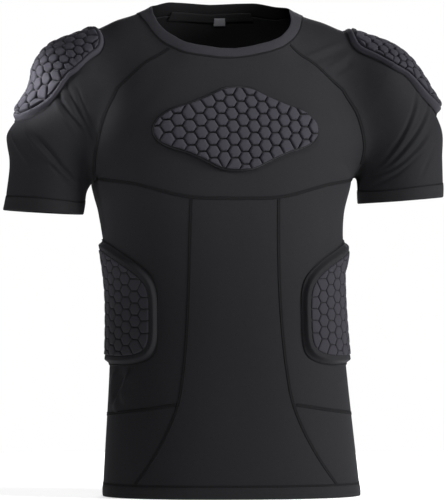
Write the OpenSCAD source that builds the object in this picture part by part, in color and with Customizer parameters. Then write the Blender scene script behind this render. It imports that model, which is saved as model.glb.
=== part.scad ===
// Padded protective undershirt: stretch-knit panels, raglan sleeves and six pads of hexagonal foam cells.
// +Z is up, -Y is the front, and +X is the wearer's left. The hem stands on z = 0, centred on the origin.

/* [Shirt body] */
// Length from the hem to the height of the collar at the side of the neck
shirt_len = 700; // [660:5:740]
// Width across the chest at its widest
chest_w = 374; // [360:2:384]
// Width across the ribs, just below the armpits
ribs_w = 344; // [330:2:352]
// Width across the waist
waist_w = 328; // [300:2:350]
// Width across the hem
hem_w = 366; // [330:2:390]
// Depth from breastbone to back
chest_d = 236; // [220:2:260]
// Depth from front to back at the waist
waist_d = 204; // [180:2:230]
// Depth from front to back at the hem
hem_d = 226; // [200:2:250]
// Height of the waist above the hem
waist_h = 265; // [240:5:290]
// Height of the widest part of the chest above the hem
chest_h = 500; // [490:2:510]
// Height at which the chest seam meets the side of the body
armpit_h = 455; // [450:1:460]
// Roundness of the body's cross-section: 2 is an ellipse, more is squarer
squareness = 2.3; // [2:0.1:2.6]

/* [Neck] */
// Width of the neck across the top of the collar
neck_w = 196; // [184:2:208]
// Width of the knitted collar band
collar_band_w = 19; // [14:1:22]
// How far the front of the collar band lies below its sides
neck_drop = 65; // [55:1:70]
// How far the back of the collar band lies below its sides
nape_drop = 6; // [3:1:12]

/* [Sleeves] */
// Distance between the two shoulder points, where the arms turn down
shoulder_span = 436; // [426:2:444]
// Height of the shoulder points above the hem
shoulder_h = 582; // [576:1:588]
// Radius of the sleeve round the shoulder
shoulder_r = 60; // [56:1:62]
// Radius of the sleeve opening
cuff_r = 57; // [53:0.5:59]
// Distance between the middles of the two sleeve openings
cuff_span = 505; // [500:1:520]
// Height of the middle of the sleeve opening above the hem
cuff_h = 415; // [408:1:430]

/* [Fabric] */
// Thickness of the stretch knit
fabric_t = 1.2; // [0.8:0.1:1.6]
// Gap between two panels under the flatlock stitching
seam_gap = 0.8; // [0.6:0.1:1.2]
// Width of a flatlock seam's band of thread
seam_w = 5; // [4:0.5:7]
// Thickness of a band of thread
thread_t = 0.5; // [0.3:0.1:0.8]
// Height of the turned-up hem
hem_band_h = 22; // [16:1:26]
// Height of the turned-up sleeve edges
cuff_band_h = 16; // [12:1:20]

/* [Pads] */
// Height of the pads over the shirt
pad_h = 9.6; // [9.2:0.2:12]
// Thickness of the moulded cover over the foam
cover_t = 1.2; // [0.8:0.1:1.4]
// Thickness of the foam sheet under the cells
base_sheet_t = 1; // [0.8:0.1:1.4]
// Distance between the middles of neighbouring foam cells
cell_pitch = 17; // [15:0.5:20]
// Width of the groove between foam cells
groove_w = 2.6; // [2:0.2:4]
// Height of a foam cell
cell_h = 4.2; // [3.6:0.2:4.6]
// Width of the stitched flange round a pad
flange_w = 3.5; // [3:0.5:5]
// Width of the chest pad
chest_pad_w = 242; // [200:2:260]
// Height of the chest pad
chest_pad_h = 122; // [100:2:130]
// Height of the middle of the chest pad above the hem
chest_pad_z = 517; // [514:1:521]
// Width of the back pad
back_pad_w = 190; // [150:2:210]
// Height of the back pad
back_pad_h = 150; // [120:2:160]
// Height of the middle of the back pad above the hem
back_pad_z = 545; // [540:1:550]
// Length of a rib pad round the body, in front of the side line
rib_pad_front = 118; // [100:2:124]
// Length of a rib pad round the body, behind the side line
rib_pad_back = 100; // [80:2:110]
// Height of a rib pad
rib_pad_h = 180; // [150:2:190]
// Height of the middle of a rib pad above the hem
rib_pad_z = 275; // [270:1:280]
// Length of a shoulder pad along the shoulder and down the arm
shoulder_pad_l = 192; // [176:2:200]
// Width of a shoulder pad from front to back
shoulder_pad_w = 154; // [130:2:160]

/* [Hidden] */

KNIT = "#26262b";      // black stretch knit
COLLAR = "#3a3a42";    // the collar band's tighter rib
MOULDED = "#34343b";   // laminated pad cover
FOAM = "#4a4a50";      // closed-cell foam
THREAD = "#1b1b1f";    // flatlock thread
LABEL = "#8c8c90";     // heat-transfer label, left blank

lift = 0.8;            // running height of a thread band over the fabric that it covers
pad_gap = 0.9;         // clearance between the shirt and a pad's underside
cell_gap = 0.3;        // clearance between the base sheet and the foam cells
label_w = 16;
label_h = 11;
tape_w = 12;

// ---------------------------------------------------------------- curves and vectors

function mix(a, b, t) = a + (b - a) * t;
function unit(v) = v / norm(v);
function clamp01(t) = min(max(t, 0), 1);
function smooth(t) = let (c = clamp01(t)) c * c * (3 - 2 * c);

// Index of the last row of a table that starts at or below x, short of its last row.
function row_below(table, x, i = 0) =
    i >= len(table) - 2 || table[i + 1][0] > x ? i : row_below(table, x, i + 1);

// A smooth curve through the rows of a table [x, value], where a value is a number or a vector.
function along(table, x) =
    let (
        i = row_below(table, x),
        last = len(table) - 1,
        a = table[i],
        b = table[i + 1],
        span = b[0] - a[0],
        t = clamp01((x - a[0]) / span),
        before = i > 0 ? table[i - 1] : a,
        after = i + 2 <= last ? table[i + 2] : b,
        slope_a = (b[1] - before[1]) / (b[0] - before[0]) * span,
        slope_b = (after[1] - a[1]) / (after[0] - a[0]) * span
    )
    a[1] * (1 + 2 * t) * (1 - t) * (1 - t) + slope_a * t * (1 - t) * (1 - t)
    + b[1] * t * t * (3 - 2 * t) + slope_b * t * t * (t - 1);

// ---------------------------------------------------------------- the wearer's form

// Half width, depth in front and depth behind of the trunk at each height.
TRUNK = [
    [0, [hem_w / 2, hem_d / 2, hem_d / 2]],
    [waist_h, [waist_w / 2, waist_d / 2, waist_d / 2]],
    [armpit_h - 58, [ribs_w / 2, mix(waist_d, chest_d, 0.75) / 2, mix(waist_d, chest_d, 0.6) / 2]],
    [chest_h, [chest_w / 2, chest_d * 0.51, chest_d * 0.49]],
    [shirt_len - 115, [chest_w / 2 - 21, chest_d * 0.43, chest_d * 0.46]],
    [shirt_len - 65, [neck_w / 2 + 38, chest_d * 0.37, chest_d * 0.40]],
    [shirt_len - 24, [neck_w / 2 + 6, chest_d * 0.345, chest_d * 0.32]],
    [shirt_len - 8, [neck_w / 2 - 4, chest_d * 0.335, chest_d * 0.29]],
    [shirt_len + 12, [neck_w / 2 - 10, chest_d * 0.33, chest_d * 0.27]]
];

// The limb's middle line, as [point, radius]: collar bone, shoulder point, upper arm, sleeve opening.
elbow_x = mix(shoulder_span, cuff_span, 0.92) / 2;
LIMB = [
    [[neck_w / 2 + 4, 10, shirt_len - 57], 37],
    [[shoulder_span / 2, 4, shoulder_h], shoulder_r],
    [[elbow_x, 2, mix(shoulder_h, cuff_h, 0.5)], mix(shoulder_r, cuff_r, 0.8)],
    [[cuff_span / 2 + 2, 0, cuff_h - 35], cuff_r]
];

// Distance from the trunk's skin, measured level and outward from the trunk's axis.
function from_trunk(p) =
    let (
        size = along(TRUNK, p[2]),
        depth = p[1] < 0 ? size[1] : size[2],
        r = max(norm([p[0], p[1]]), 0.01),
        q = pow(pow(abs(p[0]) / size[0], squareness) + pow(abs(p[1]) / depth, squareness), 1 / squareness)
    )
    r - r / max(q, 0.0001);

// Distance from one stretch of the limb, a cone with round ends.
function from_cone(p, a, b) =
    let (
        axis = b[0] - a[0],
        t = clamp01((p - a[0]) * axis / (axis * axis))
    )
    norm(p - a[0] - t * axis) - mix(a[1], b[1], t);

function soft_min(a, b, k) = let (h = max(k - abs(a - b), 0)) min(a, b) - h * h / (4 * k);

function from_limb(p) =
    soft_min(
        soft_min(from_cone(p, LIMB[0], LIMB[1]), from_cone(p, LIMB[1], LIMB[2]), 12),
        from_cone(p, LIMB[2], LIMB[3]), 6);

// How softly the limb runs into the trunk: barely under the arm, and broadly over the shoulder.
function merge_at(z) = 9 + 43 * smooth((z - armpit_h + 48) / 105);

// Signed distance, near enough, from the skin that the shirt lies on: less than zero inside.
function form(p) =
    let (q = [abs(p[0]), p[1], p[2]])
    soft_min(from_trunk(q), from_limb(q), merge_at(p[2]));

function settle(o, d, t, n) = n == 0 ? t : settle(o, d, t - 0.8 * form(o + t * d), n - 1);
function refine(o, d, t0, f0, t1, f1, n) =
    n == 0 || abs(f1) < 0.001 || abs(f1 - f0) < 0.000001 ? t1 :
    let (t2 = t1 - f1 * (t1 - t0) / (f1 - f0))
    refine(o, d, t1, f1, t2, form(o + t2 * d), n - 1);

// Where the ray from o, inside the form, along d comes out of the skin.
function cast(o, d) =
    let (
        u = unit(d),
        t0 = settle(o, u, 0, 5),
        t1 = t0 - 0.8 * form(o + t0 * u),
        t = refine(o, u, t0, form(o + t0 * u), t1, form(o + t1 * u), 6)
    )
    o + t * u;

function normal_at(p) =
    let (e = 0.5, f = form(p))
    unit([form(p + [e, 0, 0]) - f, form(p + [0, e, 0]) - f, form(p + [0, 0, e]) - f]);

// The skin at an angle round the trunk, from 0 at the front through 90 at the wearer's left.
function round_body(angle, z) = cast([0, 0, z], [sin(angle), -cos(angle), 0]);
function on_front(x, z) = cast([x, 0, z], [0, -1, 0]);
function on_back(x, z) = cast([x, 0, z], [0, 1, 0]);
function angle_of(p) = atan2(p[0], -p[1]);

// ---------------------------------------------------------------- seam lines

// Distance of the front princess seam from the middle, and of the back one, at each height.
FRONT_PRINCESS_X = [[0, 156], [22, 143], [57, 115], [90, 98], [132, 81], [209, 69.5], [300, 64], [430, 62]];
BACK_PRINCESS_X = [[0, 128], [22, 120], [90, 92], [200, 74], [330, 70], [450, 78]];

function seam_angles(xs, back) =
    [for (z = [0:armpit_h / 10:armpit_h])
        let (x = along(xs, z)) [z, angle_of(back ? on_back(x, z) : on_front(x, z))]];
FRONT_PRINCESS = seam_angles(FRONT_PRINCESS_X, false);
BACK_PRINCESS = seam_angles(BACK_PRINCESS_X, true);

// Heights of the seams that run round the body, by angle from the front.
CHEST_SEAM = [[0, armpit_h - 35], [32, armpit_h - 32], [62, armpit_h - 13], [90, armpit_h - 4]];
YOKE_SEAM = [[90, armpit_h - 4], [125, armpit_h - 12], [180, armpit_h - 20]];
HIP_SEAM = [[20, 136], [40, 132], [65, 122], [90, 116], [125, 120], [160, 130]];

// Height of the outer edge of the collar band, by angle from the front.
COLLAR_EDGE = [
    [0, shirt_len - 15 - neck_drop],
    [20, shirt_len - 13 - neck_drop],
    [40, shirt_len - 7 - neck_drop],
    [53, mix(shirt_len - 13 - neck_drop, shirt_len - 17, 0.37)],
    [65, mix(shirt_len - 13 - neck_drop, shirt_len - 17, 0.64)],
    [76, mix(shirt_len - 13 - neck_drop, shirt_len - 17, 0.86)],
    [90, shirt_len - 17],
    [112, shirt_len - 15],
    [140, mix(shirt_len - 15, shirt_len - 13 - nape_drop, 0.5)],
    [180, shirt_len - 13 - nape_drop]
];
RAGLAN_TOP_FRONT = 51;   // angle round the neck at which the front raglan seam meets the collar
RAGLAN_TOP_BACK = 132;   // and the back one

function collar_edge(angle) = round_body(angle, along(COLLAR_EDGE, abs(angle)));

// The line over the shoulder between body and sleeve, from the armpit up to the top of the shoulder, by height.
// Its lower part is the raglan seam, which then leaves it for the collar.
hinge_x = shoulder_span / 2 - 54;
ARMHOLE_X = [
    [armpit_h - 5, chest_w / 2 - 1], [armpit_h + 20, chest_w / 2 + 2], [chest_h - 4, chest_w / 2 + 3],
    [chest_h + 40, chest_w / 2 - 6], [chest_h + 82, hinge_x - 3], [chest_h + 120, hinge_x - 2],
    [shirt_len - 20, hinge_x]
];
armhole_z = chest_h + 60;      // middle of the armhole line
RAGLAN_LEAVES = 15;            // angle up the armhole at which the raglan seam leaves it
ARMHOLE_STEP = 15;             // angle between the points of the armhole line

// A point of the armhole line, by angle in a side view: -90 is the armpit, 0 the front, 90 the top of the shoulder.
function armhole_path(angle, t) =
    let (z = armhole_z + t * sin(angle))
    [along(ARMHOLE_X, z), -t * cos(angle), z];
function armhole_settle(angle, t, n) =
    n == 0 ? t : armhole_settle(angle, t - 0.7 * form(armhole_path(angle, t)), n - 1);
function armhole(angle) = armhole_path(angle, armhole_settle(angle, 0, 22));

// The front and back raglan seams, from the armpit at 0 to the collar at 1.
RAGLAN_SPLIT = 7 / 12;         // the armhole line takes 7 of its 12 rows
function raglan(t, back) =
    t <= RAGLAN_SPLIT ?
        armhole(back ? mix(270, 180 - RAGLAN_LEAVES, t / RAGLAN_SPLIT) : mix(-90, RAGLAN_LEAVES, t / RAGLAN_SPLIT)) :
        let (
            start = armhole(back ? 180 - RAGLAN_LEAVES : RAGLAN_LEAVES),
            end = collar_edge(back ? RAGLAN_TOP_BACK : RAGLAN_TOP_FRONT),
            s = (t - RAGLAN_SPLIT) / (1 - RAGLAN_SPLIT),
            guide = mix(start, end, s)
        )
        back ? on_back(guide[0], guide[2]) : on_front(guide[0], guide[2]);

function mirrored(p) = [-p[0], p[1], p[2]];

// ---------------------------------------------------------------- grids and closed shells

// The border of a grid of points drawn in by half a seam gap.
function drawn_in(g, d) =
    let (m = len(g) - 1, n = len(g[0]) - 1)
    [for (i = [0:m]) [for (j = [0:n])
        let (
            p = g[i][j],
            side = i == 0 ? g[1][j] - p : i == m ? g[m - 1][j] - p : [0, 0, 0],
            ends = j == 0 ? g[i][1] - p : j == n ? g[i][n - 1] - p : [0, 0, 0],
            side_l = norm(side),
            ends_l = norm(ends)
        )
        p + (side_l > 0 ? side * min(d / side_l, 0.4) : side) + (ends_l > 0 ? ends * min(d / ends_l, 0.4) : ends)]];

// A patch between four edges, each a list of points: a guide that is then laid on the skin.
function coons(bottom, top, left, right) =
    let (m = len(bottom) - 1, n = len(left) - 1)
    [for (i = [0:m]) [for (j = [0:n])
        let (u = i / m, v = j / n)
        mix(bottom[i], top[i], v) + mix(left[j], right[j], u)
        - mix(mix(bottom[0], bottom[m], u), mix(top[0], top[m], u), v)]];

// The guide laid on the skin, with its edges left as they are.
function on_trunk(g) =
    let (m = len(g) - 1, n = len(g[0]) - 1)
    [for (i = [0:m]) [for (j = [0:n])
        let (p = g[i][j])
        i == 0 || i == m || j == 0 || j == n ? p : cast([0, 0, p[2]], [p[0], p[1], 0])]];

// The grid raised by h along the form's normals, or level with the ground where flat is true.
function raised(g, h, flat = false) =
    [for (row = g) [for (p = row)
        let (n = normal_at(p)) p + h * (flat ? unit([n[0], n[1], 0]) : n)]];

function quad(a, b, c, d) = [[a, b, c], [a, c, d]];

// A closed sheet between an outer and an inner grid. Across one step of the first index and then one of the
// second, the outer side turns anticlockwise. loop joins the last column to the first.
module sheet(outer, inner, loop = false) {
    m = len(outer);
    n = len(outer[0]);
    columns = loop ? m : m - 1;
    o = function (i, j) (i % m) * n + j;
    b = function (i, j) m * n + (i % m) * n + j;
    polyhedron(
        points = concat([for (row = outer) each row], [for (row = inner) each row]),
        faces = concat(
            [for (i = [0:columns - 1], j = [0:n - 2])
                each quad(o(i, j), o(i, j + 1), o(i + 1, j + 1), o(i + 1, j))],
            [for (i = [0:columns - 1], j = [0:n - 2])
                each quad(b(i, j), b(i + 1, j), b(i + 1, j + 1), b(i, j + 1))],
            [for (i = [0:columns - 1]) each quad(o(i, 0), o(i + 1, 0), b(i + 1, 0), b(i, 0))],
            [for (i = [0:columns - 1]) each quad(o(i + 1, n - 1), o(i, n - 1), b(i, n - 1), b(i + 1, n - 1))],
            loop ? [] : [for (j = [0:n - 2]) each quad(o(0, j + 1), o(0, j), b(0, j), b(0, j + 1))],
            loop ? [] : [for (j = [0:n - 2])
                each quad(o(m - 1, j), o(m - 1, j + 1), b(m - 1, j + 1), b(m - 1, j))]
        ),
        convexity = 10);
}

// A panel of knit on the skin, its edges drawn in from the seam lines.
module panel(g, margin = seam_gap / 2) {
    edged = drawn_in(g, margin);
    color(KNIT) sheet(edged, raised(edged, -fabric_t));
}

// A flat band of thread that lies over a seam line, given as points on the skin.
module thread(line, loop = false, h = lift, w = seam_w) {
    m = len(line);
    rings = [for (i = [0:m - 1])
        let (
            p = line[i],
            ahead = loop ? line[(i + 1) % m] : line[min(i + 1, m - 1)],
            behind = loop ? line[(i + m - 1) % m] : line[max(i - 1, 0)],
            n = normal_at(p),
            side = unit(cross(unit(ahead - behind), n)) * w / 2
        )
        [p + side + n * h, p - side + n * h, p - side + n * (h + thread_t), p + side + n * (h + thread_t)]];
    at = function (i, k) (i % m) * 4 + k % 4;
    color(THREAD) polyhedron(
        points = [for (ring = rings) each ring],
        faces = concat(
            [for (i = [0:(loop ? m : m - 1) - 1], k = [0:3])
                each quad(at(i, k), at(i + 1, k), at(i + 1, k + 1), at(i, k + 1))],
            loop ? [] : [[0, 1, 2], [0, 2, 3]],
            loop ? [] : [[at(m - 1, 2), at(m - 1, 1), at(m - 1, 0)], [at(m - 1, 3), at(m - 1, 2), at(m - 1, 0)]]
        ),
        convexity = 10);
}

// ---------------------------------------------------------------- trunk panels

// A panel between two seams that run down the body and two that run round it.
function trunk_grid(left, right, low, high, m, n) =
    [for (i = [0:m]) [for (j = [0:n])
        let (
            u = i / m,
            v = j / n,
            a0 = mix(left(waist_h), right(waist_h), u),
            z0 = mix(low(a0), high(a0), v),
            a1 = mix(left(z0), right(z0), u),
            z = mix(low(a1), high(a1), v)
        )
        round_body(mix(left(z), right(z), u), z)]];

front_princess = function (z) along(FRONT_PRINCESS, z);
back_princess = function (z) along(BACK_PRINCESS, z);
hem_line = function (a) hem_band_h;
chest_line = function (a) along(CHEST_SEAM, abs(a));
yoke_line = function (a) along(YOKE_SEAM, abs(a));
top_line = function (a) a < 90 ? chest_line(a) : yoke_line(a);
hip_line = function (a) along(HIP_SEAM, a);

module front_centre_panel() {
    panel(trunk_grid(function (z) -front_princess(z), front_princess, hem_line, chest_line, 8, 16));
}

module back_centre_panel() {
    panel(trunk_grid(back_princess, function (z) 360 - back_princess(z), hem_line,
        function (a) yoke_line(a > 180 ? 360 - a : a), 8, 16));
}

module left_side_panel() {
    panel(trunk_grid(front_princess, back_princess, hip_line, top_line, 14, 10));
}

module left_hip_panel() {
    panel(trunk_grid(front_princess, back_princess, hem_line, hip_line, 12, 5));
}

// The chest or the upper back: up from the seam round the body, between the raglan seams, to the collar.
module upper_panel(back) {
    m = 16;
    n = 12;
    bottom = [for (i = [0:m])
        let (a = mix(-90, 90, i / m))
        i == 0 ? mirrored(armhole(-90)) : i == m ? armhole(-90) :
        back ? round_body(180 - a, yoke_line(180 - abs(a))) : round_body(a, chest_line(a))];
    top = [for (i = [0:m])
        let (a = mix(-1, 1, i / m) * (back ? 180 - RAGLAN_TOP_BACK : RAGLAN_TOP_FRONT))
        collar_edge(back ? (a < 0 ? -180 - a : 180 - a) : a)];
    near = [for (j = [0:n]) raglan(j / n, back)];
    far = [for (p = near) mirrored(p)];
    grid = on_trunk(coons(bottom, top, far, near));
    panel(back ? [for (i = [m:-1:0]) grid[i]] : grid);
}

module front_chest_panel() {
    upper_panel(false);
}

module upper_back_panel() {
    upper_panel(true);
}

// ---------------------------------------------------------------- shoulders and sleeves

// The part of the raglan sleeve that stays with the body, from the armhole line over the shoulder to the collar.
module left_shoulder_section() {
    n = 5;
    tip = 2;
    low = RAGLAN_LEAVES + tip;
    high = 180 - low;
    angles = concat([low, 30, 45], [for (a = [60:ARMHOLE_STEP / 2:120]) a], [135, 150, high]);
    grid = [for (angle = angles)
        let (
            a = (angle - RAGLAN_LEAVES) / (180 - 2 * RAGLAN_LEAVES),
            outer = armhole(angle),
            inner = a <= 0.3 ? raglan(mix(RAGLAN_SPLIT, 1, a / 0.3), false) :
                a >= 0.7 ? raglan(mix(RAGLAN_SPLIT, 1, (1 - a) / 0.3), true) :
                collar_edge(mix(RAGLAN_TOP_FRONT, RAGLAN_TOP_BACK, (a - 0.3) / 0.4))
        )
        [for (j = [0:n])
            let (
                v = j / n,
                core = [mix(hinge_x - 2, neck_w / 2 - 8, v), 6, shoulder_h + 12],
                guide = mix(outer, inner, v)
            )
            j == 0 ? outer : j == n ? inner : cast(core, guide - core)]];
    panel(grid);
}

// The line down the outside of the sleeve, from the top of the shoulder at 0 to the opening at 1.
arm_core = [shoulder_span / 2 - 8, 0, shoulder_h - 62];
arm_dir = unit(LIMB[3][0] - LIMB[2][0]);
cuff_mid = [cuff_span / 2, 0, cuff_h];
cuff_side = [-arm_dir[2], 0, arm_dir[0]];
sleeve_top = armhole(90);
sleeve_low = armhole(-90);
cuff_outer = cast(cuff_mid, cuff_side);
cuff_inner = cast(cuff_mid, -cuff_side);
top_angle = atan2(sleeve_top[2] - arm_core[2], sleeve_top[0] - arm_core[0]);
low_angle = atan2(cuff_outer[2] - arm_core[2], cuff_outer[0] - arm_core[0]);
function outer_line(v) =
    let (a = mix(top_angle, low_angle, v)) cast(arm_core, [cos(a), 0, sin(a)]);

// A ring of the sleeve. Angle 0 is its outer line, and -90 its front. v runs from the armhole to the opening.
function sleeve_point(angle, v) =
    let (
        high = outer_line(v),
        low = mix(sleeve_low, cuff_inner, v),
        middle = (high + low) / 2,
        out = unit(high - low)
    )
    cast(middle, cos(angle) * out + sin(angle) * [0, 1, 0]);

// The same ring, eased into the armhole line over its first half.
function sleeve_ring_point(angle, v) =
    let (
        start = armhole(90 + angle),
        middle = (outer_line(v) + mix(sleeve_low, cuff_inner, v)) / 2,
        eased = sleeve_point(angle, v) + (1 - smooth(2 * v)) * (start - sleeve_point(angle, 0))
    )
    v == 0 ? start : cast(middle, eased - middle);

// Where the cuff's band starts, so that it is as wide all round.
function cuff_start(angle) =
    1 - 0.1 * cuff_band_h / norm(sleeve_point(angle, 1) - sleeve_point(angle, 0.9));

module left_sleeve() {
    n = 10;
    grid = [for (a = [-180:ARMHOLE_STEP:180])
        [for (j = [n:-1:0]) sleeve_ring_point(a, j / n * cuff_start(a))]];
    panel(grid, 1.25 * seam_gap);
}

module left_cuff() {
    m = 28;
    rings = [for (i = [0:m - 1])
        let (a = 360 * i / m) [for (v = [1, cuff_start(a)]) sleeve_point(a, v)]];
    trimmed = [for (ring = rings) [ring[0], mix(ring[0], ring[1], 1 - seam_gap / cuff_band_h)]];
    color(KNIT) sheet(trimmed, raised(trimmed, -1.5 * fabric_t), true);
}

module left_cuff_seam() {
    m = 28;
    thread([for (i = [0:m - 1]) let (a = -360 * i / m) sleeve_point(a, cuff_start(a))], true, w = 3);
}

module left_underarm_seam() {
    n = 8;
    thread([for (j = [0:n]) sleeve_ring_point(180, mix(0.12, cuff_start(180) - 0.06, j / n))]);
}

// ---------------------------------------------------------------- collar, hem and label

module collar_band() {
    m = 40;
    rings = [for (i = [0:m - 1])
        let (
            a = 360 * i / m,
            b = a > 180 ? 360 - a : a,
            z = along(COLLAR_EDGE, b),
            rise = along([[0, 13], [45, 14], [90, 15], [120, 18], [180, 19]], b) * collar_band_w / 19
        )
        [for (v = [0.03:0.97 / 2:1]) round_body(a, z + rise * v)]];
    color(COLLAR) sheet(rings, raised(rings, -1.4 * fabric_t), true);
}

module collar_seam() {
    m = 40;
    thread([for (i = [0:m - 1]) let (a = -360 * i / m) collar_edge(abs(a) > 180 ? 360 + a : a)], true, w = 3);
}

// The tape that covers the seam inside the back of the neck.
tape_t = 0.6 * fabric_t;
tape_depth = 1.4 * fabric_t + 0.75 * lift;

module neck_tape() {
    m = 14;
    rings = [for (i = [0:m])
        let (a = mix(RAGLAN_TOP_BACK + 3, 357 - RAGLAN_TOP_BACK, i / m), z = along(COLLAR_EDGE, a > 180 ? 360 - a : a))
        [round_body(a, z - tape_w / 2), round_body(a, z + tape_w / 2)]];
    color(COLLAR) sheet(raised(rings, -tape_depth), raised(rings, -tape_depth - tape_t));
}

module size_label() {
    z = along(COLLAR_EDGE, 180);
    half = asin(label_w / 2 / norm(round_body(180, z)));
    rings = [for (a = [180 - half, 180 + half])
        [round_body(a, z - label_h / 2), round_body(a, z + label_h / 2)]];
    under = tape_depth + tape_t + 0.4 * lift;
    color(LABEL) sheet(raised(rings, -under), raised(rings, -under - 0.3));
}

module hem_band() {
    m = 44;
    rings = [for (i = [0:m - 1])
        let (a = 360 * i / m) [for (z = [0, hem_band_h / 2, hem_band_h - seam_gap]) round_body(a, z)]];
    color(KNIT) sheet(rings, raised(rings, -1.5 * fabric_t, true), true);
}

module hem_seam() {
    m = 44;
    thread([for (i = [0:m - 1]) round_body(-360 * i / m, hem_band_h)], true, w = 3);
}

// ---------------------------------------------------------------- seams

module both_sides() {
    children();
    mirror([1, 0, 0]) children();
}

module chest_seam() {
    m = 22;
    thread([for (i = [0:m]) let (a = mix(-84, 84, i / m)) round_body(a, chest_line(a))]);
}

module back_yoke_seam() {
    m = 22;
    thread([for (i = [0:m]) let (a = mix(96, 264, i / m)) round_body(a, yoke_line(a > 180 ? 360 - a : a))]);
}

module raglan_seams() {
    n = 24;
    both_sides() for (back = [false, true])
        thread([for (j = [6:n - 1]) raglan(j / n, back)], h = 1.5 * lift);
}

module princess_seams() {
    n = 12;
    both_sides() {
        thread([for (j = [0:n])
            let (z = mix(hem_band_h + seam_w, armpit_h - 32 - seam_w, j / n)) round_body(front_princess(z), z)]);
        thread([for (j = [0:n])
            let (z = mix(hem_band_h + seam_w, armpit_h - 20 - seam_w, j / n)) round_body(back_princess(z), z)]);
    }
}

module hip_seams() {
    m = 14;
    start = front_princess(130) + 3;
    end = back_princess(130) - 3;
    both_sides() thread([for (i = [0:m]) let (a = mix(start, end, i / m)) round_body(a, hip_line(a))]);
}

// ---------------------------------------------------------------- pads

// Each pad has a site, a function that lays a point of its flat pattern [across, up] on the skin.
chest_site = function (s) on_front(s[0], chest_pad_z + s[1]);
back_site = function (s) on_back(-s[0], back_pad_z + s[1]);

side_core = 0.177 * waist_w;        // the side of the body curves about a line this far from the middle
side_r = waist_w / 2 - side_core;
rib_site = function (s)
    let (a = s[0] / side_r * 180 / PI, z = rib_pad_z + s[1])
    cast([side_core, 0, z], [cos(a), sin(a), 0]);

// On the shoulder the pattern's second number runs up the arm to the pad's inner end.
pad_start = 16;        // clearance between the armhole line and the inner end of the pad
function outer_length(v0, v1, n = 24) =
    let (p = [for (k = [0:n]) outer_line(mix(v0, v1, k / n))])
    [for (k = [0:n]) k == 0 ? 0 : norm(p[k] - p[k - 1])];
function running(d, i = 0, sum = 0) = i >= len(d) ? [] : concat([sum + d[i]], running(d, i + 1, sum + d[i]));
OUTER = let (l = running(outer_length(0, 1))) [for (k = [0:len(l) - 1]) [l[k], k / (len(l) - 1)]];
shoulder_site = function (s)
    let (
        p = outer_line(along(OUTER, pad_start + shoulder_pad_l - s[1])),
        n = normal_at(p),
        level = unit([n[0], 0, n[2]]),
        middle = p - level * shoulder_r * 0.93,
        a = s[0] / shoulder_r * 180 / PI
    )
    cast(middle, cos(a) * level + sin(a) * [0, 1, 0]);

// Outlines, anticlockwise as seen from outside, in shares of the pad's half width and half height.
function scaled(points, w, h, mid = [0, 0]) = [for (p = points) mid + [p[0] * w, p[1] * h]];
function with_mirror(half) =
    concat(half, [for (i = [len(half) - 1:-1:0]) if (abs(half[i][0]) > 0.001) [-half[i][0], half[i][1]]]);
CHEST_SHAPE = with_mirror([
    [0, -1], [0.21, -0.95], [0.40, -0.76], [0.60, -0.585], [0.81, -0.46], [0.955, -0.28], [1, -0.03],
    [0.955, 0.21], [0.81, 0.45], [0.60, 0.60], [0.37, 0.78], [0.17, 0.97], [0, 1]
]);
BACK_SHAPE = with_mirror([
    [0, -1], [0.28, -0.98], [0.52, -0.82], [0.72, -0.48], [0.90, -0.10], [1, 0.32], [0.97, 0.66], [0.80, 0.90],
    [0.52, 0.97], [0.25, 0.98], [0, 0.98]
]);
// The rib pad starts from the middle of its front edge, and its rows run up the body.
RIB_LOW = [
    [-1.01, -0.20], [-1, -0.66], [-0.93, -0.86], [-0.76, -0.96], [-0.56, -1], [-0.36, -1], [-0.16, -1], [0.04, -1],
    [0.24, -1], [0.44, -0.99], [0.63, -0.97], [0.81, -0.91], [0.93, -0.81], [0.99, -0.60], [1.01, -0.12]
];
RIB_HIGH = [
    [1, 0.34], [0.93, 0.56], [0.80, 0.71], [0.63, 0.83], [0.44, 0.91], [0.24, 0.97], [0.04, 1], [-0.16, 0.96],
    [-0.36, 0.86], [-0.56, 0.71], [-0.76, 0.53], [-0.92, 0.35], [-1, 0.14]
];
rib_outline = [for (p = concat(RIB_LOW, RIB_HIGH)) [
    p[0] * (p[0] < 0 ? rib_pad_front : rib_pad_back), p[1] * rib_pad_h / 2]];
SHOULDER_SHAPE = with_mirror([
    [0, 0], [0.26, 0.02], [0.50, 0.09], [0.71, 0.19], [0.86, 0.31], [0.96, 0.44], [1, 0.57], [0.97, 0.69],
    [0.87, 0.80], [0.77, 0.90], [0.62, 0.965], [0.36, 0.995], [0, 1]
]);
chest_outline = scaled(CHEST_SHAPE, chest_pad_w / 2, chest_pad_h / 2);
back_outline = scaled(BACK_SHAPE, back_pad_w / 2, back_pad_h / 2);
function reversed(list) = [for (i = [len(list) - 1:-1:0]) list[i]];
shoulder_outline = scaled(SHOULDER_SHAPE, shoulder_pad_w / 2, shoulder_pad_l);

function mean(list) = [for (k = [1:len(list)]) 1] * list / len(list);

// The outline drawn in by d along its own inward normals.
function inset(outline, d) =
    let (m = len(outline))
    [for (i = [0:m - 1])
        let (t = unit(outline[(i + 1) % m] - outline[(i + m - 1) % m])) outline[i] + d * [-t[1], t[0]]];

// Height of the cover's outer face over the skin, by distance in from the outline.
COVER_RISE = [
    [0, pad_gap + cover_t], [flange_w, pad_gap + cover_t + 0.5], [flange_w + 5, pad_h - 1], [flange_w + 9, pad_h]
];

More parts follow.
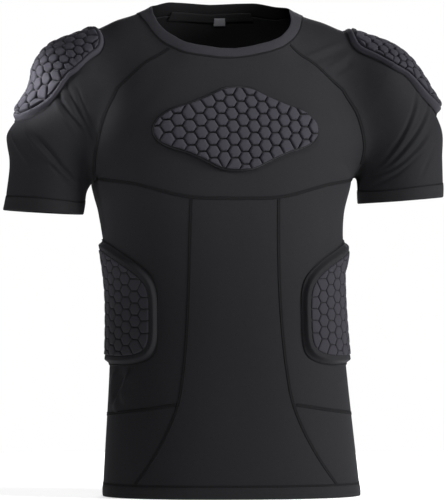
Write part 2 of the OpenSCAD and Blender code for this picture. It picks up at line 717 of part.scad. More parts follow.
// A closed dished sheet on a site. Each step of rise is [distance in from the outline, height of the outer face];
// inside the last one, rows cross the pad from each point of the outline to its opposite.
module dish(site, outline, rise, t, columns = 8) {
    m = len(outline);
    k = len(rise);
    half = m / 2;
    top_h = rise[k - 1][1];
    rings = [for (step = rise) inset(outline, step[0])];
    inner = rings[k - 1];
    fill = [for (i = [1:half - 1], j = [1:columns - 1]) mix(inner[i], inner[m - i], j / columns)];
    pattern = concat([for (ring = rings) each ring], fill);
    heights = concat([for (step = rise, i = [1:m]) step[1]], [for (p = fill) top_h]);
    count = len(pattern);
    at = function (r, i) r * m + i % m;
    cell = function (i, j)
        i == 0 || i == half || j == 0 ? at(k - 1, i) :
        j == columns ? at(k - 1, m - i) : k * m + (i - 1) * (columns - 1) + j - 1;
    outer_faces = concat(
        [for (r = [0:1:k - 2], i = [0:m - 1]) each quad(at(r, i), at(r + 1, i), at(r + 1, i + 1), at(r, i + 1))],
        [for (i = [1:half - 2], j = [0:columns - 1])
            each quad(cell(i, j), cell(i, j + 1), cell(i + 1, j + 1), cell(i + 1, j))],
        [for (j = [0:columns - 1]) [cell(0, 0), cell(1, j + 1), cell(1, j)]],
        [for (j = [0:columns - 1]) [cell(half, 0), cell(half - 1, j), cell(half - 1, j + 1)]]);
    feet = [for (p = pattern) site(p)];
    normals = [for (p = feet) normal_at(p)];
    polyhedron(
        points = concat(
            [for (i = [0:count - 1]) feet[i] + heights[i] * normals[i]],
            [for (i = [0:count - 1]) feet[i] + (heights[i] - t) * normals[i]]),
        faces = concat(
            outer_faces,
            [for (f = outer_faces) [count + f[0], count + f[2], count + f[1]]],
            [for (i = [0:m - 1]) each quad(at(0, i), at(0, i + 1), count + at(0, i + 1), count + at(0, i))]),
        convexity = 10);
}

module pad_cover(site, outline) {
    color(MOULDED) dish(site, outline, COVER_RISE, cover_t);
}

module pad_base(site, outline) {
    color(FOAM) dish(site, outline, [[flange_w + 2.5, pad_gap + base_sheet_t]], base_sheet_t);
}

module pad_stitching(site, outline) {
    thread([for (s = reversed(inset(outline, flange_w / 2))) site(s)], true, pad_gap + cover_t + 0.5 + lift, 1.4);
}

// Distance from a point of the pattern to the outline, less than zero outside.
function depth_in(outline, s) =
    let (
        m = len(outline),
        gaps = [for (i = [0:m - 1])
            let (
                a = outline[i],
                b = outline[(i + 1) % m],
                t = clamp01((s - a) * (b - a) / ((b - a) * (b - a)))
            )
            norm(s - mix(a, b, t))],
        turns = [for (i = [0:m - 1])
            let (a = outline[i] - s, b = outline[(i + 1) % m] - s)
            atan2(a[0] * b[1] - a[1] * b[0], a * b)],
        inside = abs([for (t = turns) 1] * turns) > 180
    )
    inside ? min(gaps) : -min(gaps);

// The foam cells: hexagons on a staggered grid, smaller where the outline leaves less room.
module pad_cells(site, outline) {
    rows = cell_pitch;
    columns = cell_pitch * sin(60);
    mid = mean(outline);
    reach = max([for (p = outline) norm(p - mid)]);
    full = (cell_pitch - groove_w) / 2 / cos(30);
    wall = flange_w + 6;
    color(FOAM)
    for (i = [-ceil(reach / columns):ceil(reach / columns)], j = [-ceil(reach / rows):ceil(reach / rows)]) {
        s = mid + [i * columns, (j + (i % 2 == 0 ? 0 : 0.5)) * rows];
        r = min(full, depth_in(outline, s) - wall);
        if (r > full * 0.45) {
            p = site(s);
            n = normal_at(p);
            up = site(s + [0, 1]) - p;
            side = unit(cross(up, n));
            ahead = cross(n, side);
            seat = p + n * (pad_gap + base_sheet_t + cell_gap);
            multmatrix([
                [side[0], ahead[0], n[0], seat[0]],
                [side[1], ahead[1], n[1], seat[1]],
                [side[2], ahead[2], n[2], seat[2]],
                [0, 0, 0, 1]])
                cylinder(r = r, h = cell_h, $fn = 6);
        }
    }
}

// ---------------------------------------------------------------- output

module on_right() {
    mirror([1, 0, 0]) children();
}

front_chest_panel();
upper_back_panel();
front_centre_panel();
back_centre_panel();
left_side_panel();
on_right() left_side_panel();  // right_side_panel
left_hip_panel();
on_right() left_hip_panel();  // right_hip_panel
left_shoulder_section();
on_right() left_shoulder_section();  // right_shoulder_section
collar_band();
neck_tape();
size_label();
hem_band();
chest_seam();
back_yoke_seam();
raglan_seams();
princess_seams();
hip_seams();
collar_seam();
hem_seam();
pad_cover(chest_site, chest_outline);  // chest_pad_cover
pad_cells(chest_site, chest_outline);  // chest_pad_cells
pad_base(chest_site, chest_outline);  // chest_pad_base
pad_stitching(chest_site, chest_outline);  // chest_pad_stitching
pad_cover(back_site, back_outline);  // back_pad_cover
pad_cells(back_site, back_outline);  // back_pad_cells
pad_base(back_site, back_outline);  // back_pad_base
pad_stitching(back_site, back_outline);  // back_pad_stitching
pad_cover(rib_site, rib_outline);  // left_rib_pad_cover
pad_cells(rib_site, rib_outline);  // left_rib_pad_cells
pad_base(rib_site, rib_outline);  // left_rib_pad_base
pad_stitching(rib_site, rib_outline);  // left_rib_pad_stitching
on_right() pad_cover(rib_site, rib_outline);  // right_rib_pad_cover
on_right() pad_cells(rib_site, rib_outline);  // right_rib_pad_cells
on_right() pad_base(rib_site, rib_outline);  // right_rib_pad_base
on_right() pad_stitching(rib_site, rib_outline);  // right_rib_pad_stitching
left_sleeve();
left_cuff();
left_cuff_seam();
left_underarm_seam();
pad_cover(shoulder_site, shoulder_outline);  // left_shoulder_pad_cover
pad_cells(shoulder_site, shoulder_outline);  // left_shoulder_pad_cells
pad_base(shoulder_site, shoulder_outline);  // left_shoulder_pad_base
pad_stitching(shoulder_site, shoulder_outline);  // left_shoulder_pad_stitching
on_right() left_sleeve();  // right_sleeve
on_right() left_cuff();  // right_cuff
on_right() left_cuff_seam();  // right_cuff_seam
on_right() left_underarm_seam();  // right_underarm_seam
on_right() pad_cover(shoulder_site, shoulder_outline);  // right_shoulder_pad_cover
on_right() pad_cells(shoulder_site, shoulder_outline);  // right_shoulder_pad_cells
on_right() pad_base(shoulder_site, shoulder_outline);  // right_shoulder_pad_base
on_right() pad_stitching(shoulder_site, shoulder_outline);  // right_shoulder_pad_stitching
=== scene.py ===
"""Dresses a padded compression shirt: knit panels, raglan sleeves, moulded cell pads, flatlock seams and bands."""
import logging
import math
from dataclasses import dataclass, field
from enum import Enum
from typing import Callable, Sequence

import bmesh
import bpy
import numpy as np
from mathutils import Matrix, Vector
from mathutils.bvhtree import BVHTree


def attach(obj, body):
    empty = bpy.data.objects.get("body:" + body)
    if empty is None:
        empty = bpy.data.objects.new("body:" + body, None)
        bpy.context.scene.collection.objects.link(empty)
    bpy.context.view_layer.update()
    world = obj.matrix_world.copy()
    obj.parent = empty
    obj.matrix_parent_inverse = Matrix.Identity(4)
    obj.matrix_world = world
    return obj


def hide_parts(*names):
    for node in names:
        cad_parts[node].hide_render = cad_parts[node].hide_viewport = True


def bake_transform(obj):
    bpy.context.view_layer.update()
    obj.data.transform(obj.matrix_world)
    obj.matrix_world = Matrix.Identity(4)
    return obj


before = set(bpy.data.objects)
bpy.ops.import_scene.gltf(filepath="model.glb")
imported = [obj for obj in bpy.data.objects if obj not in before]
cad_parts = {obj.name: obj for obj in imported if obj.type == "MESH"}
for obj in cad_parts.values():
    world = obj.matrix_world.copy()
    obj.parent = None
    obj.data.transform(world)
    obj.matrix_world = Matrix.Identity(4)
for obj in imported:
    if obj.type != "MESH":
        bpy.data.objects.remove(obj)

log = logging.getLogger("shirt")
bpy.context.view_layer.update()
# An array of points or other values, and a number or such an array.
Points = np.ndarray
Values = float | np.ndarray
# A millimetre in metres.
MM = 0.001
# The photograph's frame, in pixels.
IMAGE_W, IMAGE_H = 445, 500
# In metres, how near two points are merged, and the length of an edge that is dropped.
WELD, SLIVER = 0.00002, 0.00001
# How near a share of a line or grid is to 0 or 1 to count as its end.
NEAR = 1e-6

# Named places in the photograph, in pixels from its upper left corner.
IMAGE_POINTS = {
    "left_edge": (1.5, None),
    "right_edge": (442.5, None),
    "top_edge": (None, 1.5),
    "bottom_edge": (None, 497.0),
    "collar_front": (234.8, 52.5),
    "size_label": (219.0, 23.0),
    "chest_pad": (237.5, 131.0),
    "chest_pad_left_tip": (152.4, 133.5),
    "chest_pad_right_tip": (322.8, 131.0),
    "chest_seam_middle": (236.0, 199.5),
    "waist_left": (105.0, 350.0),
    "waist_right": (349.0, 350.0),
    "right_cuff": (43.0, 207.0),
    "left_cuff": (402.0, 195.0),
    "hem_middle": (236.0, 492.0),
}


# ---------------------------------------------------------------- small helpers

def mix(a: Values, b: Values, t: Values) -> Values:
    """Goes from a at 0 to b at 1."""
    return a + (b - a) * t


def smooth(t: Values) -> Values:
    """Eases from 0 to 1."""
    t = np.clip(t, 0, 1)
    return t * t * (3 - 2 * t)


def unit(v: Points) -> Points:
    """Directions of length one."""
    return v / np.maximum(np.linalg.norm(v, axis=-1, keepdims=True), 1e-9)


def vectors(*parts: Values) -> Points:
    """Points from their coordinates, each a number or an array."""
    return np.stack(np.broadcast_arrays(*[np.asarray(p, float) for p in parts]), -1)


def along(table: Sequence, x: Values) -> Points:
    """Reads a table by a smooth curve through its rows.

    Args:
        table: Rows of a key and a number or list of numbers.
        x: Keys to read.

    Returns:
        One value or list of values for each key.
    """
    xs = np.array([row[0] for row in table], float)
    ys = np.array([np.atleast_1d(row[1]) for row in table], float)
    x = np.asarray(x, float)
    i = np.clip(np.searchsorted(xs, x, side="right") - 1, 0, len(xs) - 2)
    span = xs[i + 1] - xs[i]
    t = np.clip((x - xs[i]) / span, 0, 1)[..., None]
    before = np.where(i > 0, i - 1, i)
    after = np.minimum(i + 2, len(xs) - 1)
    slope_a = (ys[i + 1] - ys[before]) / (xs[i + 1] - xs[before])[..., None] * span[..., None]
    slope_b = (ys[after] - ys[i]) / (xs[after] - xs[i])[..., None] * span[..., None]
    value = (ys[i] * (1 + 2 * t) * (1 - t) ** 2 + slope_a * t * (1 - t) ** 2
             + ys[i + 1] * t * t * (3 - 2 * t) + slope_b * t * t * (t - 1))
    return value[..., 0] if ys.shape[1] == 1 else value


def soft_min(a: Points, b: Points, width: Values) -> Points:
    """The lesser of two distances, rounded where they meet."""
    h = np.maximum(width - np.abs(a - b), 0)
    return np.minimum(a, b) - h * h / (4 * width)


def run_of(line: Points) -> Points:
    """How far along a line each of its points lies."""
    return np.concatenate([[0], np.cumsum(np.linalg.norm(np.diff(line, axis=0), axis=1))])


def read_line(points: Points, keys: Points, at: Points) -> Points:
    """Reads a line of points by straight steps.

    Args:
        points: The line's points.
        keys: The rising key of each point.
        at: Keys to read.

    Returns:
        One point for each key read.
    """
    return np.stack([np.interp(at, keys, column) for column in points.T], -1)


# ---------------------------------------------------------------- the form under the shirt

@dataclass
class Skin:
    """The form that the shirt is cut to, in mm: a trunk of soft-cornered sections that runs into two arms."""

    shirt_len: float = 700
    chest_w: float = 374
    ribs_w: float = 344
    waist_w: float = 328
    hem_w: float = 366
    chest_d: float = 236
    waist_d: float = 204
    hem_d: float = 226
    waist_h: float = 265
    chest_h: float = 500
    armpit_h: float = 455
    squareness: float = 2.3
    neck_w: float = 196
    neck_drop: float = 65
    nape_drop: float = 6
    shoulder_span: float = 436
    shoulder_h: float = 582
    shoulder_r: float = 60
    cuff_r: float = 57
    cuff_span: float = 505
    cuff_h: float = 415
    trunk: list = field(init=False)
    limb: list = field(init=False)

    def __post_init__(self) -> None:
        """Sets out the sections of the trunk and the stations of the arm."""
        s = self
        s.trunk = [
            [0, [s.hem_w / 2, s.hem_d / 2, s.hem_d / 2]],
            [s.waist_h, [s.waist_w / 2, s.waist_d / 2, s.waist_d / 2]],
            [s.armpit_h - 58, [s.ribs_w / 2, mix(s.waist_d, s.chest_d, 0.75) / 2, mix(s.waist_d, s.chest_d, 0.6) / 2]],
            [s.chest_h, [s.chest_w / 2, s.chest_d * 0.51, s.chest_d * 0.49]],
            [s.shirt_len - 115, [s.chest_w / 2 - 21, s.chest_d * 0.43, s.chest_d * 0.46]],
            [s.shirt_len - 65, [s.neck_w / 2 + 38, s.chest_d * 0.37, s.chest_d * 0.40]],
            [s.shirt_len - 24, [s.neck_w / 2 + 6, s.chest_d * 0.345, s.chest_d * 0.32]],
            [s.shirt_len - 8, [s.neck_w / 2 - 4, s.chest_d * 0.335, s.chest_d * 0.29]],
            [s.shirt_len + 12, [s.neck_w / 2 - 10, s.chest_d * 0.33, s.chest_d * 0.27]],
        ]
        elbow = mix(s.shoulder_span, s.cuff_span, 0.92) / 2
        s.limb = [
            [np.array([s.neck_w / 2 + 4, 10, s.shirt_len - 57.0]), 37],
            [np.array([s.shoulder_span / 2, 4, float(s.shoulder_h)]), s.shoulder_r],
            [np.array([elbow, 2, mix(s.shoulder_h, s.cuff_h, 0.5)]), mix(s.shoulder_r, s.cuff_r, 0.8)],
            [np.array([s.cuff_span / 2 + 2, 0, s.cuff_h - 35.0]), s.cuff_r],
        ]

    def from_trunk(self, p: Points) -> Points:
        """Distance outside the trunk.

        Args:
            p: Points in mm.

        Returns:
            How far out each one is, less than zero inside.
        """
        size = along(self.trunk, p[..., 2])
        depth = np.where(p[..., 1] < 0, size[..., 1], size[..., 2])
        r = np.maximum(np.hypot(p[..., 0], p[..., 1]), 0.01)
        k = self.squareness
        q = ((np.abs(p[..., 0]) / size[..., 0]) ** k + (np.abs(p[..., 1]) / depth) ** k) ** (1 / k)
        return r - r / np.maximum(q, 1e-4)

    @staticmethod
    def from_cone(p: Points, a: list, b: list) -> Points:
        """Distance outside a tapered round bar between two stations.

        Args:
            p: Points in mm.
            a: The middle and radius of the first station.
            b: Those of the second.

        Returns:
            How far out each point is.
        """
        axis = b[0] - a[0]
        t = np.clip(((p - a[0]) @ axis) / (axis @ axis), 0, 1)
        return np.linalg.norm(p - a[0] - t[..., None] * axis, axis=-1) - mix(a[1], b[1], t)

    def form(self, p: Points) -> Points:
        """Distance outside the whole form, less than zero inside.

        Args:
            p: Points in mm.

        Returns:
            How far out each one is.
        """
        q = np.array(p, float)
        q[..., 0] = np.abs(q[..., 0])
        limb = self.limb
        arm = soft_min(soft_min(self.from_cone(q, limb[0], limb[1]), self.from_cone(q, limb[1], limb[2]), 12),
                       self.from_cone(q, limb[2], limb[3]), 6)
        merge = 9 + 43 * smooth((q[..., 2] - self.armpit_h + 48) / 105)
        return soft_min(self.from_trunk(q), arm, merge)

    def cast(self, origin: Points, direction: Points) -> Points:
        """Where rays that start inside the form come out of it.

        Args:
            origin: Start of each ray.
            direction: Direction of each ray.

        Returns:
            The point of the skin on each ray.
        """
        o, d = np.broadcast_arrays(np.asarray(origin, float), unit(np.asarray(direction, float)))
        t = np.zeros(o.shape[:-1])
        # Eased steps bring each ray near the skin, and then the secant rule settles it.
        ease, longest = 0.8, 40
        for _ in range(7):
            t = t - ease * self.form(o + t[..., None] * d)
        f0, t0 = self.form(o + t[..., None] * d), t
        t1 = t0 - ease * f0
        for _ in range(9):
            f1 = self.form(o + t1[..., None] * d)
            moved = np.abs(f1 - f0) > 1e-7
            step = np.where(moved, f1 * (t1 - t0) / np.where(moved, f1 - f0, 1), 0)
            t0, f0, t1 = t1, f1, t1 - np.clip(step, -longest, longest)
        return o + t1[..., None] * d

    def normal_at(self, p: Points) -> Points:
        """The outward direction at points of the skin."""
        f = self.form(p)
        return unit(np.stack([self.form(p + 0.5 * np.eye(3)[k]) - f for k in range(3)], -1))

    def settle(self, p: Points) -> Points:
        """Moves points near the skin straight onto it.

        Args:
            p: Points near the skin.

        Returns:
            The same points on it.
        """
        for _ in range(14):
            p = p - 0.85 * self.form(p)[..., None] * self.normal_at(p)
        return p

    def round_body(self, angle: Values, z: Values) -> Points:
        """The skin at an angle round the trunk, from 0 at the front through 90 at the wearer's left."""
        a = np.radians(np.asarray(angle, float))
        return self.cast(vectors(0, 0, z + 0 * a), vectors(np.sin(a), -np.cos(a), 0 * a))

    def on_front(self, x: Values, z: Values) -> Points:
        """The skin straight ahead of a place in the middle plane."""
        return self.cast(vectors(x, 0, z), np.array([0.0, -1, 0]))

    def on_back(self, x: Values, z: Values) -> Points:
        """The skin straight behind a place in the middle plane."""
        return self.cast(vectors(x, 0, z), np.array([0.0, 1, 0]))


@dataclass
class Pattern:
    """The seam lines of the shirt, which cut the skin into its panels."""

    skin: Skin
    hem_band_h: float = 18
    cuff_band_h: float = 16
    collar_band_w: float = 19
    raglan_leaves: float = 15
    raglan_split: float = 7 / 12
    top_front: float = 51
    top_back: float = 132
    front_princess_x: tuple = ((0, 156), (22, 143), (57, 115), (90, 98), (132, 81), (209, 69.5), (300, 64), (430, 62))
    back_princess_x: tuple = ((0, 128), (22, 120), (90, 92), (200, 74), (330, 70), (450, 78))
    hip_z: tuple = ((20, 136), (40, 132), (65, 122), (90, 116), (125, 120), (160, 130))

    def __post_init__(self) -> None:
        """Works out the tables that follow from the skin."""
        s = self.skin
        self.hinge_x = s.shoulder_span / 2 - 54
        heights = np.linspace(0, s.armpit_h, 11)
        ahead = s.on_front(along(self.front_princess_x, heights), heights)
        behind = s.on_back(along(self.back_princess_x, heights), heights)
        self.front_table = list(zip(heights, np.degrees(np.arctan2(ahead[:, 0], -ahead[:, 1]))))
        self.back_table = list(zip(heights, np.degrees(np.arctan2(behind[:, 0], -behind[:, 1]))))
        a, n, d, w = s.armpit_h, s.shirt_len, s.neck_drop, s.nape_drop
        self.chest_table = [(0, a - 35), (32, a - 32), (62, a - 13), (90, a - 4)]
        self.yoke_table = [(90, a - 4), (125, a - 12), (180, a - 20)]
        low, high = n - 13 - d, n - 17
        self.collar_table = [
            (0, n - 15 - d), (20, low), (40, n - 7 - d), (53, mix(low, high, 0.37)), (65, mix(low, high, 0.64)),
            (76, mix(low, high, 0.86)), (90, high), (112, n - 15), (140, mix(n - 15, n - 13 - w, 0.5)),
            (180, n - 13 - w)]
        c, half = s.chest_h, s.chest_w / 2
        self.armhole_table = [
            (a - 5, half - 1), (a + 20, half + 2), (c - 4, half + 3), (c + 40, half - 6), (c + 82, self.hinge_x - 3),
            (c + 120, self.hinge_x - 2), (n - 20, self.hinge_x)]
        self.cuff_mid = np.array([s.cuff_span / 2, 0, float(s.cuff_h)])
        arm = unit(s.limb[3][0] - s.limb[2][0])
        side = np.array([-arm[2], 0, arm[0]])
        self.arm_core = np.array([s.shoulder_span / 2 - 8, 0, s.shoulder_h - 62.0])
        self.sleeve_low = self.armhole(np.array(-90.0))
        top = self.armhole(np.array(90.0))
        self.cuff_inner = s.cast(self.cuff_mid, -side)
        outer = s.cast(self.cuff_mid, side)
        self.arm_angles = [math.degrees(math.atan2(p[2] - self.arm_core[2], p[0] - self.arm_core[0]))
                           for p in (top, outer)]
        shares = np.linspace(0, 1, 25)
        self.outer_table = list(zip(run_of(self.outer_line(shares)), shares))

    def front_princess(self, z: Values) -> Points:
        """Angle of the front princess seam at a height."""
        return along(self.front_table, z)

    def back_princess(self, z: Values) -> Points:
        """Angle of the back princess seam at a height."""
        return along(self.back_table, z)

    def chest_line(self, angle: Values) -> Points:
        """Height of the chest seam."""
        return along(self.chest_table, np.abs(angle))

    def yoke_line(self, angle: Values) -> Points:
        """Height of the back yoke seam, on either side."""
        return along(self.yoke_table, np.where(angle > 180, 360 - angle, angle))

    def top_line(self, angle: Values) -> Points:
        """Height of the seam over the side panel."""
        return np.where(angle < 90, self.chest_line(angle), self.yoke_line(angle))

    def hip_line(self, angle: Values) -> Points:
        """Height of the hip seam."""
        return along(self.hip_z, angle)

    def hem_line(self, angle: Values) -> Points:
        """Height of the hem band's upper edge."""
        return self.hem_band_h + 0 * np.asarray(angle, float)

    def collar_height(self, angle: Values) -> Points:
        """Height of the collar's outer edge, on either side."""
        b = np.mod(angle, 360)
        return along(self.collar_table, np.where(b > 180, 360 - b, b))

    def collar_edge(self, angle: Values) -> Points:
        """The collar's outer edge, by angle round the neck."""
        return self.skin.round_body(angle, self.collar_height(angle))

    def armhole(self, angle: Values) -> Points:
        """The line between body and sleeve.

        Args:
            angle: Angles in a side view: -90 armpit, 0 front, 90 top of the shoulder.

        Returns:
            The line's points.
        """
        a = np.radians(np.asarray(angle, float))
        t = np.zeros(a.shape)
        middle = self.skin.chest_h + 60

        def path(t: Points) -> Points:
            """Points of the armhole's surface, by distance from its middle."""
            z = middle + t * np.sin(a)
            return vectors(along(self.armhole_table, z), -t * np.cos(a), z)

        for _ in range(40):
            t = t - 0.7 * self.skin.form(path(t))
        return path(t)

    def raglan(self, t: Values, back: bool) -> Points:
        """A raglan seam.

        Args:
            t: Shares along it, from the armpit at 0 to the collar at 1.
            back: Whether it is the one behind.

        Returns:
            The seam's points.
        """
        t = np.asarray(t, float)
        lower = np.clip(t / self.raglan_split, 0, 1)
        leaves = self.raglan_leaves
        angle = mix(270, 180 - leaves, lower) if back else mix(-90, leaves, lower)
        s = np.clip((t - self.raglan_split) / (1 - self.raglan_split), 0, 1)[..., None]
        start = self.armhole(np.array(180.0 - leaves if back else leaves))
        end = self.collar_edge(np.array(self.top_back if back else self.top_front, float))
        guide = mix(start, end, s)
        upper = (self.skin.on_back if back else self.skin.on_front)(guide[..., 0], guide[..., 2])
        return np.where((t <= self.raglan_split)[..., None], self.armhole(angle), upper)

    def outer_line(self, v: Values) -> Points:
        """The line down the outside of the sleeve."""
        a = np.radians(mix(self.arm_angles[0], self.arm_angles[1], np.asarray(v, float)))
        return self.skin.cast(self.arm_core, vectors(np.cos(a), 0 * a, np.sin(a)))

    def sleeve_point(self, angle: Values, v: Values) -> Points:
        """A plain ring of the sleeve.

        Args:
            angle: Angles round it: 0 on its outer line and -90 in front.
            v: How far down the sleeve.

        Returns:
            The ring's points.
        """
        high = self.outer_line(v)
        low = mix(self.sleeve_low, self.cuff_inner, np.asarray(v, float)[..., None])
        a = np.radians(np.asarray(angle, float))[..., None]
        out = unit(high - low)
        return self.skin.cast((high + low) / 2, np.cos(a) * out + np.sin(a) * np.array([0, 1.0, 0]))

    def sleeve_ring(self, angle: Values, v: Values) -> Points:
        """A ring of the sleeve, eased into the armhole line over the sleeve's first half.

        Args:
            angle: Angles round it.
            v: How far down the sleeve.

        Returns:
            The ring's points.
        """
        v = np.asarray(v, float)
        start = self.armhole(90 + angle)
        middle = (self.outer_line(v) + mix(self.sleeve_low, self.cuff_inner, v[..., None])) / 2
        ease = (1 - smooth(2 * v))[..., None]
        eased = self.sleeve_point(angle, v) + ease * (start - self.sleeve_point(angle, 0 * v))
        ring = self.skin.cast(middle, eased - middle)
        return np.where((v <= NEAR)[..., None], start, ring)

    def cuff_start(self, angle: Values) -> Points:
        """How far down the sleeve its cuff band starts, so that it is as wide all round.

        Args:
            angle: Angles round the sleeve.

        Returns:
            A share of the sleeve's length for each.
        """
        angle = np.asarray(angle, float)
        last = self.sleeve_point(angle, 1 + 0 * angle) - self.sleeve_point(angle, 0.9 + 0 * angle)
        return 1 - 0.1 * self.cuff_band_h / np.linalg.norm(last, axis=-1)


@dataclass(frozen=True)
class Hang:
    """How the shirt hangs in the photograph: a slight turn and lean of the trunk, and arms a little apart.

    The tables go by height in mm. Turns are in degrees, seen from above.
    """

    turn: tuple = ((0, -5.0), (280, -2.0), (415, 2.0), (560, 3.6), (700, 4.0))
    lean: tuple = ((0, 9.5), (280, 0.7), (415, -8.0), (560, -7.0), (700, -6.5))
    left_arm: float = 2.6
    right_arm: float = 1.0
    right_drop: float = 15.0
    hinge: tuple = (164, 661)
    shoulder_lift: tuple = ((0, 0), (60, 0), (88, -6), (104, -5), (125, 1), (150, 6), (175, 4), (200, 1), (230, -4),
                            (262, -7), (320, -7))
    right_push: tuple = ((440, 0), (540, 0), (590, -8), (620, -9), (650, 0))
    left_push: tuple = ((440, 0), (490, 3), (550, 6), (580, 3), (610, -4), (640, -4), (660, 0))
    right_edge: tuple = ((400, 0), (440, -1), (462, -3), (476, -4), (490, -4), (504, -1), (519, 3), (533, 0),
                         (547, -5.5), (561, -6.5), (575, -7), (590, -5), (604, -1), (618, 0))
    left_side: tuple = ((315, 0), (335, 5), (350, 6), (370, 4.5), (400, 4.5), (440, 5.5), (456, 3), (470, 0))
    right_side: tuple = ((385, 0), (405, 2), (425, 6), (440, 7), (456, 3), (470, 0))
    left_inner: tuple = ((370, 0), (390, 5), (410, 6), (440, 6), (456, 3), (470, 0))
    collar_lift: tuple = ((-130, 0), (-100, -4.0), (-80, -2.6), (-50, -3.0), (-25, -3.6), (0, -2.4), (25, -0.4),
                          (50, 2.6), (66, 4.8), (80, 4.8), (92, 3.2), (106, 0.5), (130, 0))
    collar_push: tuple = ((-130, 0), (-102, -2.5), (-80, 0), (50, 0), (66, -1.5), (80, -3.4), (92, -4.6), (104, -4.0),
                          (118, -1.5), (135, 0))

    def apply(self, p: Points) -> Points:
        """Moves points of the plain shirt to where it hangs.

        Args:
            p: Points in mm.

        Returns:
            The moved points.
        """
        p = np.array(p, float)
        x, z = p[..., 0].copy(), p[..., 2].copy()
        side = np.where(x < 0, -1.0, 1.0)
        # The arms swing about the shoulders, and the right one hangs lower.
        joined = smooth((z - 440) / 60)
        arm = smooth((np.abs(x) - mix(178, 150, joined)) / mix(14, 45, joined)) * smooth((z - 370) / 15)
        swing = np.radians(np.where(x < 0, self.right_arm, self.left_arm)) * arm
        dx, dz = np.abs(x) - self.hinge[0], z - self.hinge[1]
        p[..., 0] = side * (self.hinge[0] + dx * np.cos(swing) - dz * np.sin(swing))
        p[..., 2] = (self.hinge[1] + dx * np.sin(swing) + dz * np.cos(swing)
                     - np.where(x < 0, self.right_drop, 0) * arm * smooth((640 - z) / 200))
        # The outlines of the arms and of the trunk beside them.
        push = np.where(x < 0, along(self.right_push, z), along(self.left_push, z)) * smooth((np.abs(x) - 190) / 50)
        push += np.where(x < 0, along(self.right_edge, z), 0) * smooth((np.abs(x) - 235) / 45)
        limb = smooth((np.abs(x) - 178) / 14)
        push += (np.where(x < 0, along(self.right_side, z), along(self.left_side, z))
                 * (1 - limb) * smooth((np.abs(x) - 130) / 40))
        push -= np.where(x > 0, along(self.left_inner, z), 0) * limb * smooth((235 - np.abs(x)) / 35)
        p[..., 0] += side * push
        # The slope of the shoulders and the sag of the collar.
        p[..., 2] += along(self.shoulder_lift, np.abs(x)) * smooth((z - 590) / 60)
        near = smooth((z - 596) / 24) * smooth((704 - z) / 16) * smooth((8 - p[..., 1]) / 30)
        p[..., 0] += along(self.collar_push, x) * near
        p[..., 2] += along(self.collar_lift, x) * near
        # The turn and the lean, which the arms follow less.
        a = np.radians(along(self.turn, z))
        x, y = p[..., 0].copy(), p[..., 1].copy()
        shoulder = smooth((z - 380) / 60) * smooth((np.abs(x) - 120) / 120)
        p[..., 0] = (x * np.cos(a) - y * np.sin(a) + along(self.lean, z) * (1 - 0.8 * shoulder)
                     - 2 * np.sign(x) * shoulder)
        p[..., 1] = x * np.sin(a) * (1 - 0.8 * shoulder) + y * np.cos(a)
        return p


HANG = Hang()


# ---------------------------------------------------------------- finishes

def shade(hex_colour: str) -> tuple:
    """A hex sRGB colour as the linear colour that a node takes."""
    parts = [int(hex_colour[k:k + 2], 16) / 255 for k in (1, 3, 5)]
    return (*[p / 12.92 if p <= 0.04045 else ((p + 0.055) / 1.055) ** 2.4 for p in parts], 1.0)


class Finish:
    """A node material in the making."""

    def __init__(self, name: str) -> None:
        """Starts a material with a principled surface.

        Args:
            name: The material's name.
        """
        self.material = bpy.data.materials.new(name)
        self.material.use_nodes = True
        self.tree = self.material.node_tree
        self.surface = self.tree.nodes["Principled BSDF"]

    def add(self, kind: str, **settings: object) -> bpy.types.Node:
        """Adds a node, with inputs named by socket and settings by property.

        Args:
            kind: The node's type, without its ShaderNode prefix.
            **settings: Socket values or links as in_Name, others as properties.

        Returns:
            The new node.
        """
        node = self.tree.nodes.new("ShaderNode" + kind)
        for key, value in settings.items():
            if not key.startswith("in_"):
                setattr(node, key, value)
        for key, value in settings.items():
            if key.startswith("in_"):
                name = key[3:].replace("_", " ")
                socket = node.inputs[int(name)] if name.isdigit() else node.inputs[name]
                if isinstance(value, bpy.types.NodeSocket):
                    self.tree.links.new(value, socket)
                else:
                    socket.default_value = value
        return node

    def math(self, operation: str, *values: float | bpy.types.NodeSocket) -> bpy.types.NodeSocket:
        """Works on numbers and links, in order, and gives the result."""
        return self.add("Math", operation=operation, **{f"in_{k}": v for k, v in enumerate(values)}).outputs[0]

    def noise(self, place: bpy.types.NodeSocket, scale: float, detail: float) -> bpy.types.NodeSocket:
        """Gives a cloudy pattern."""
        return self.add("TexNoise", in_Vector=place, in_Scale=scale, in_Detail=detail).outputs["Fac"]

    def mixed(self, share: bpy.types.NodeSocket, *ends: str | bpy.types.NodeSocket) -> bpy.types.NodeSocket:
        """Mixes two colours, each a hex colour or a link."""
        low, high = (shade(end) if isinstance(end, str) else end for end in ends)
        return self.add("Mix", data_type="RGBA", in_0=share, in_6=low, in_7=high).outputs[2]

    def link(self, socket: bpy.types.NodeSocket, name: str) -> None:
        """Feeds one of the surface's inputs."""
        self.tree.links.new(socket, self.surface.inputs[name])

    def set(self, **values: float | tuple) -> None:
        """Sets inputs of the surface to fixed values."""
        for name, value in values.items():
            self.surface.inputs[name.replace("_", " ")].default_value = value


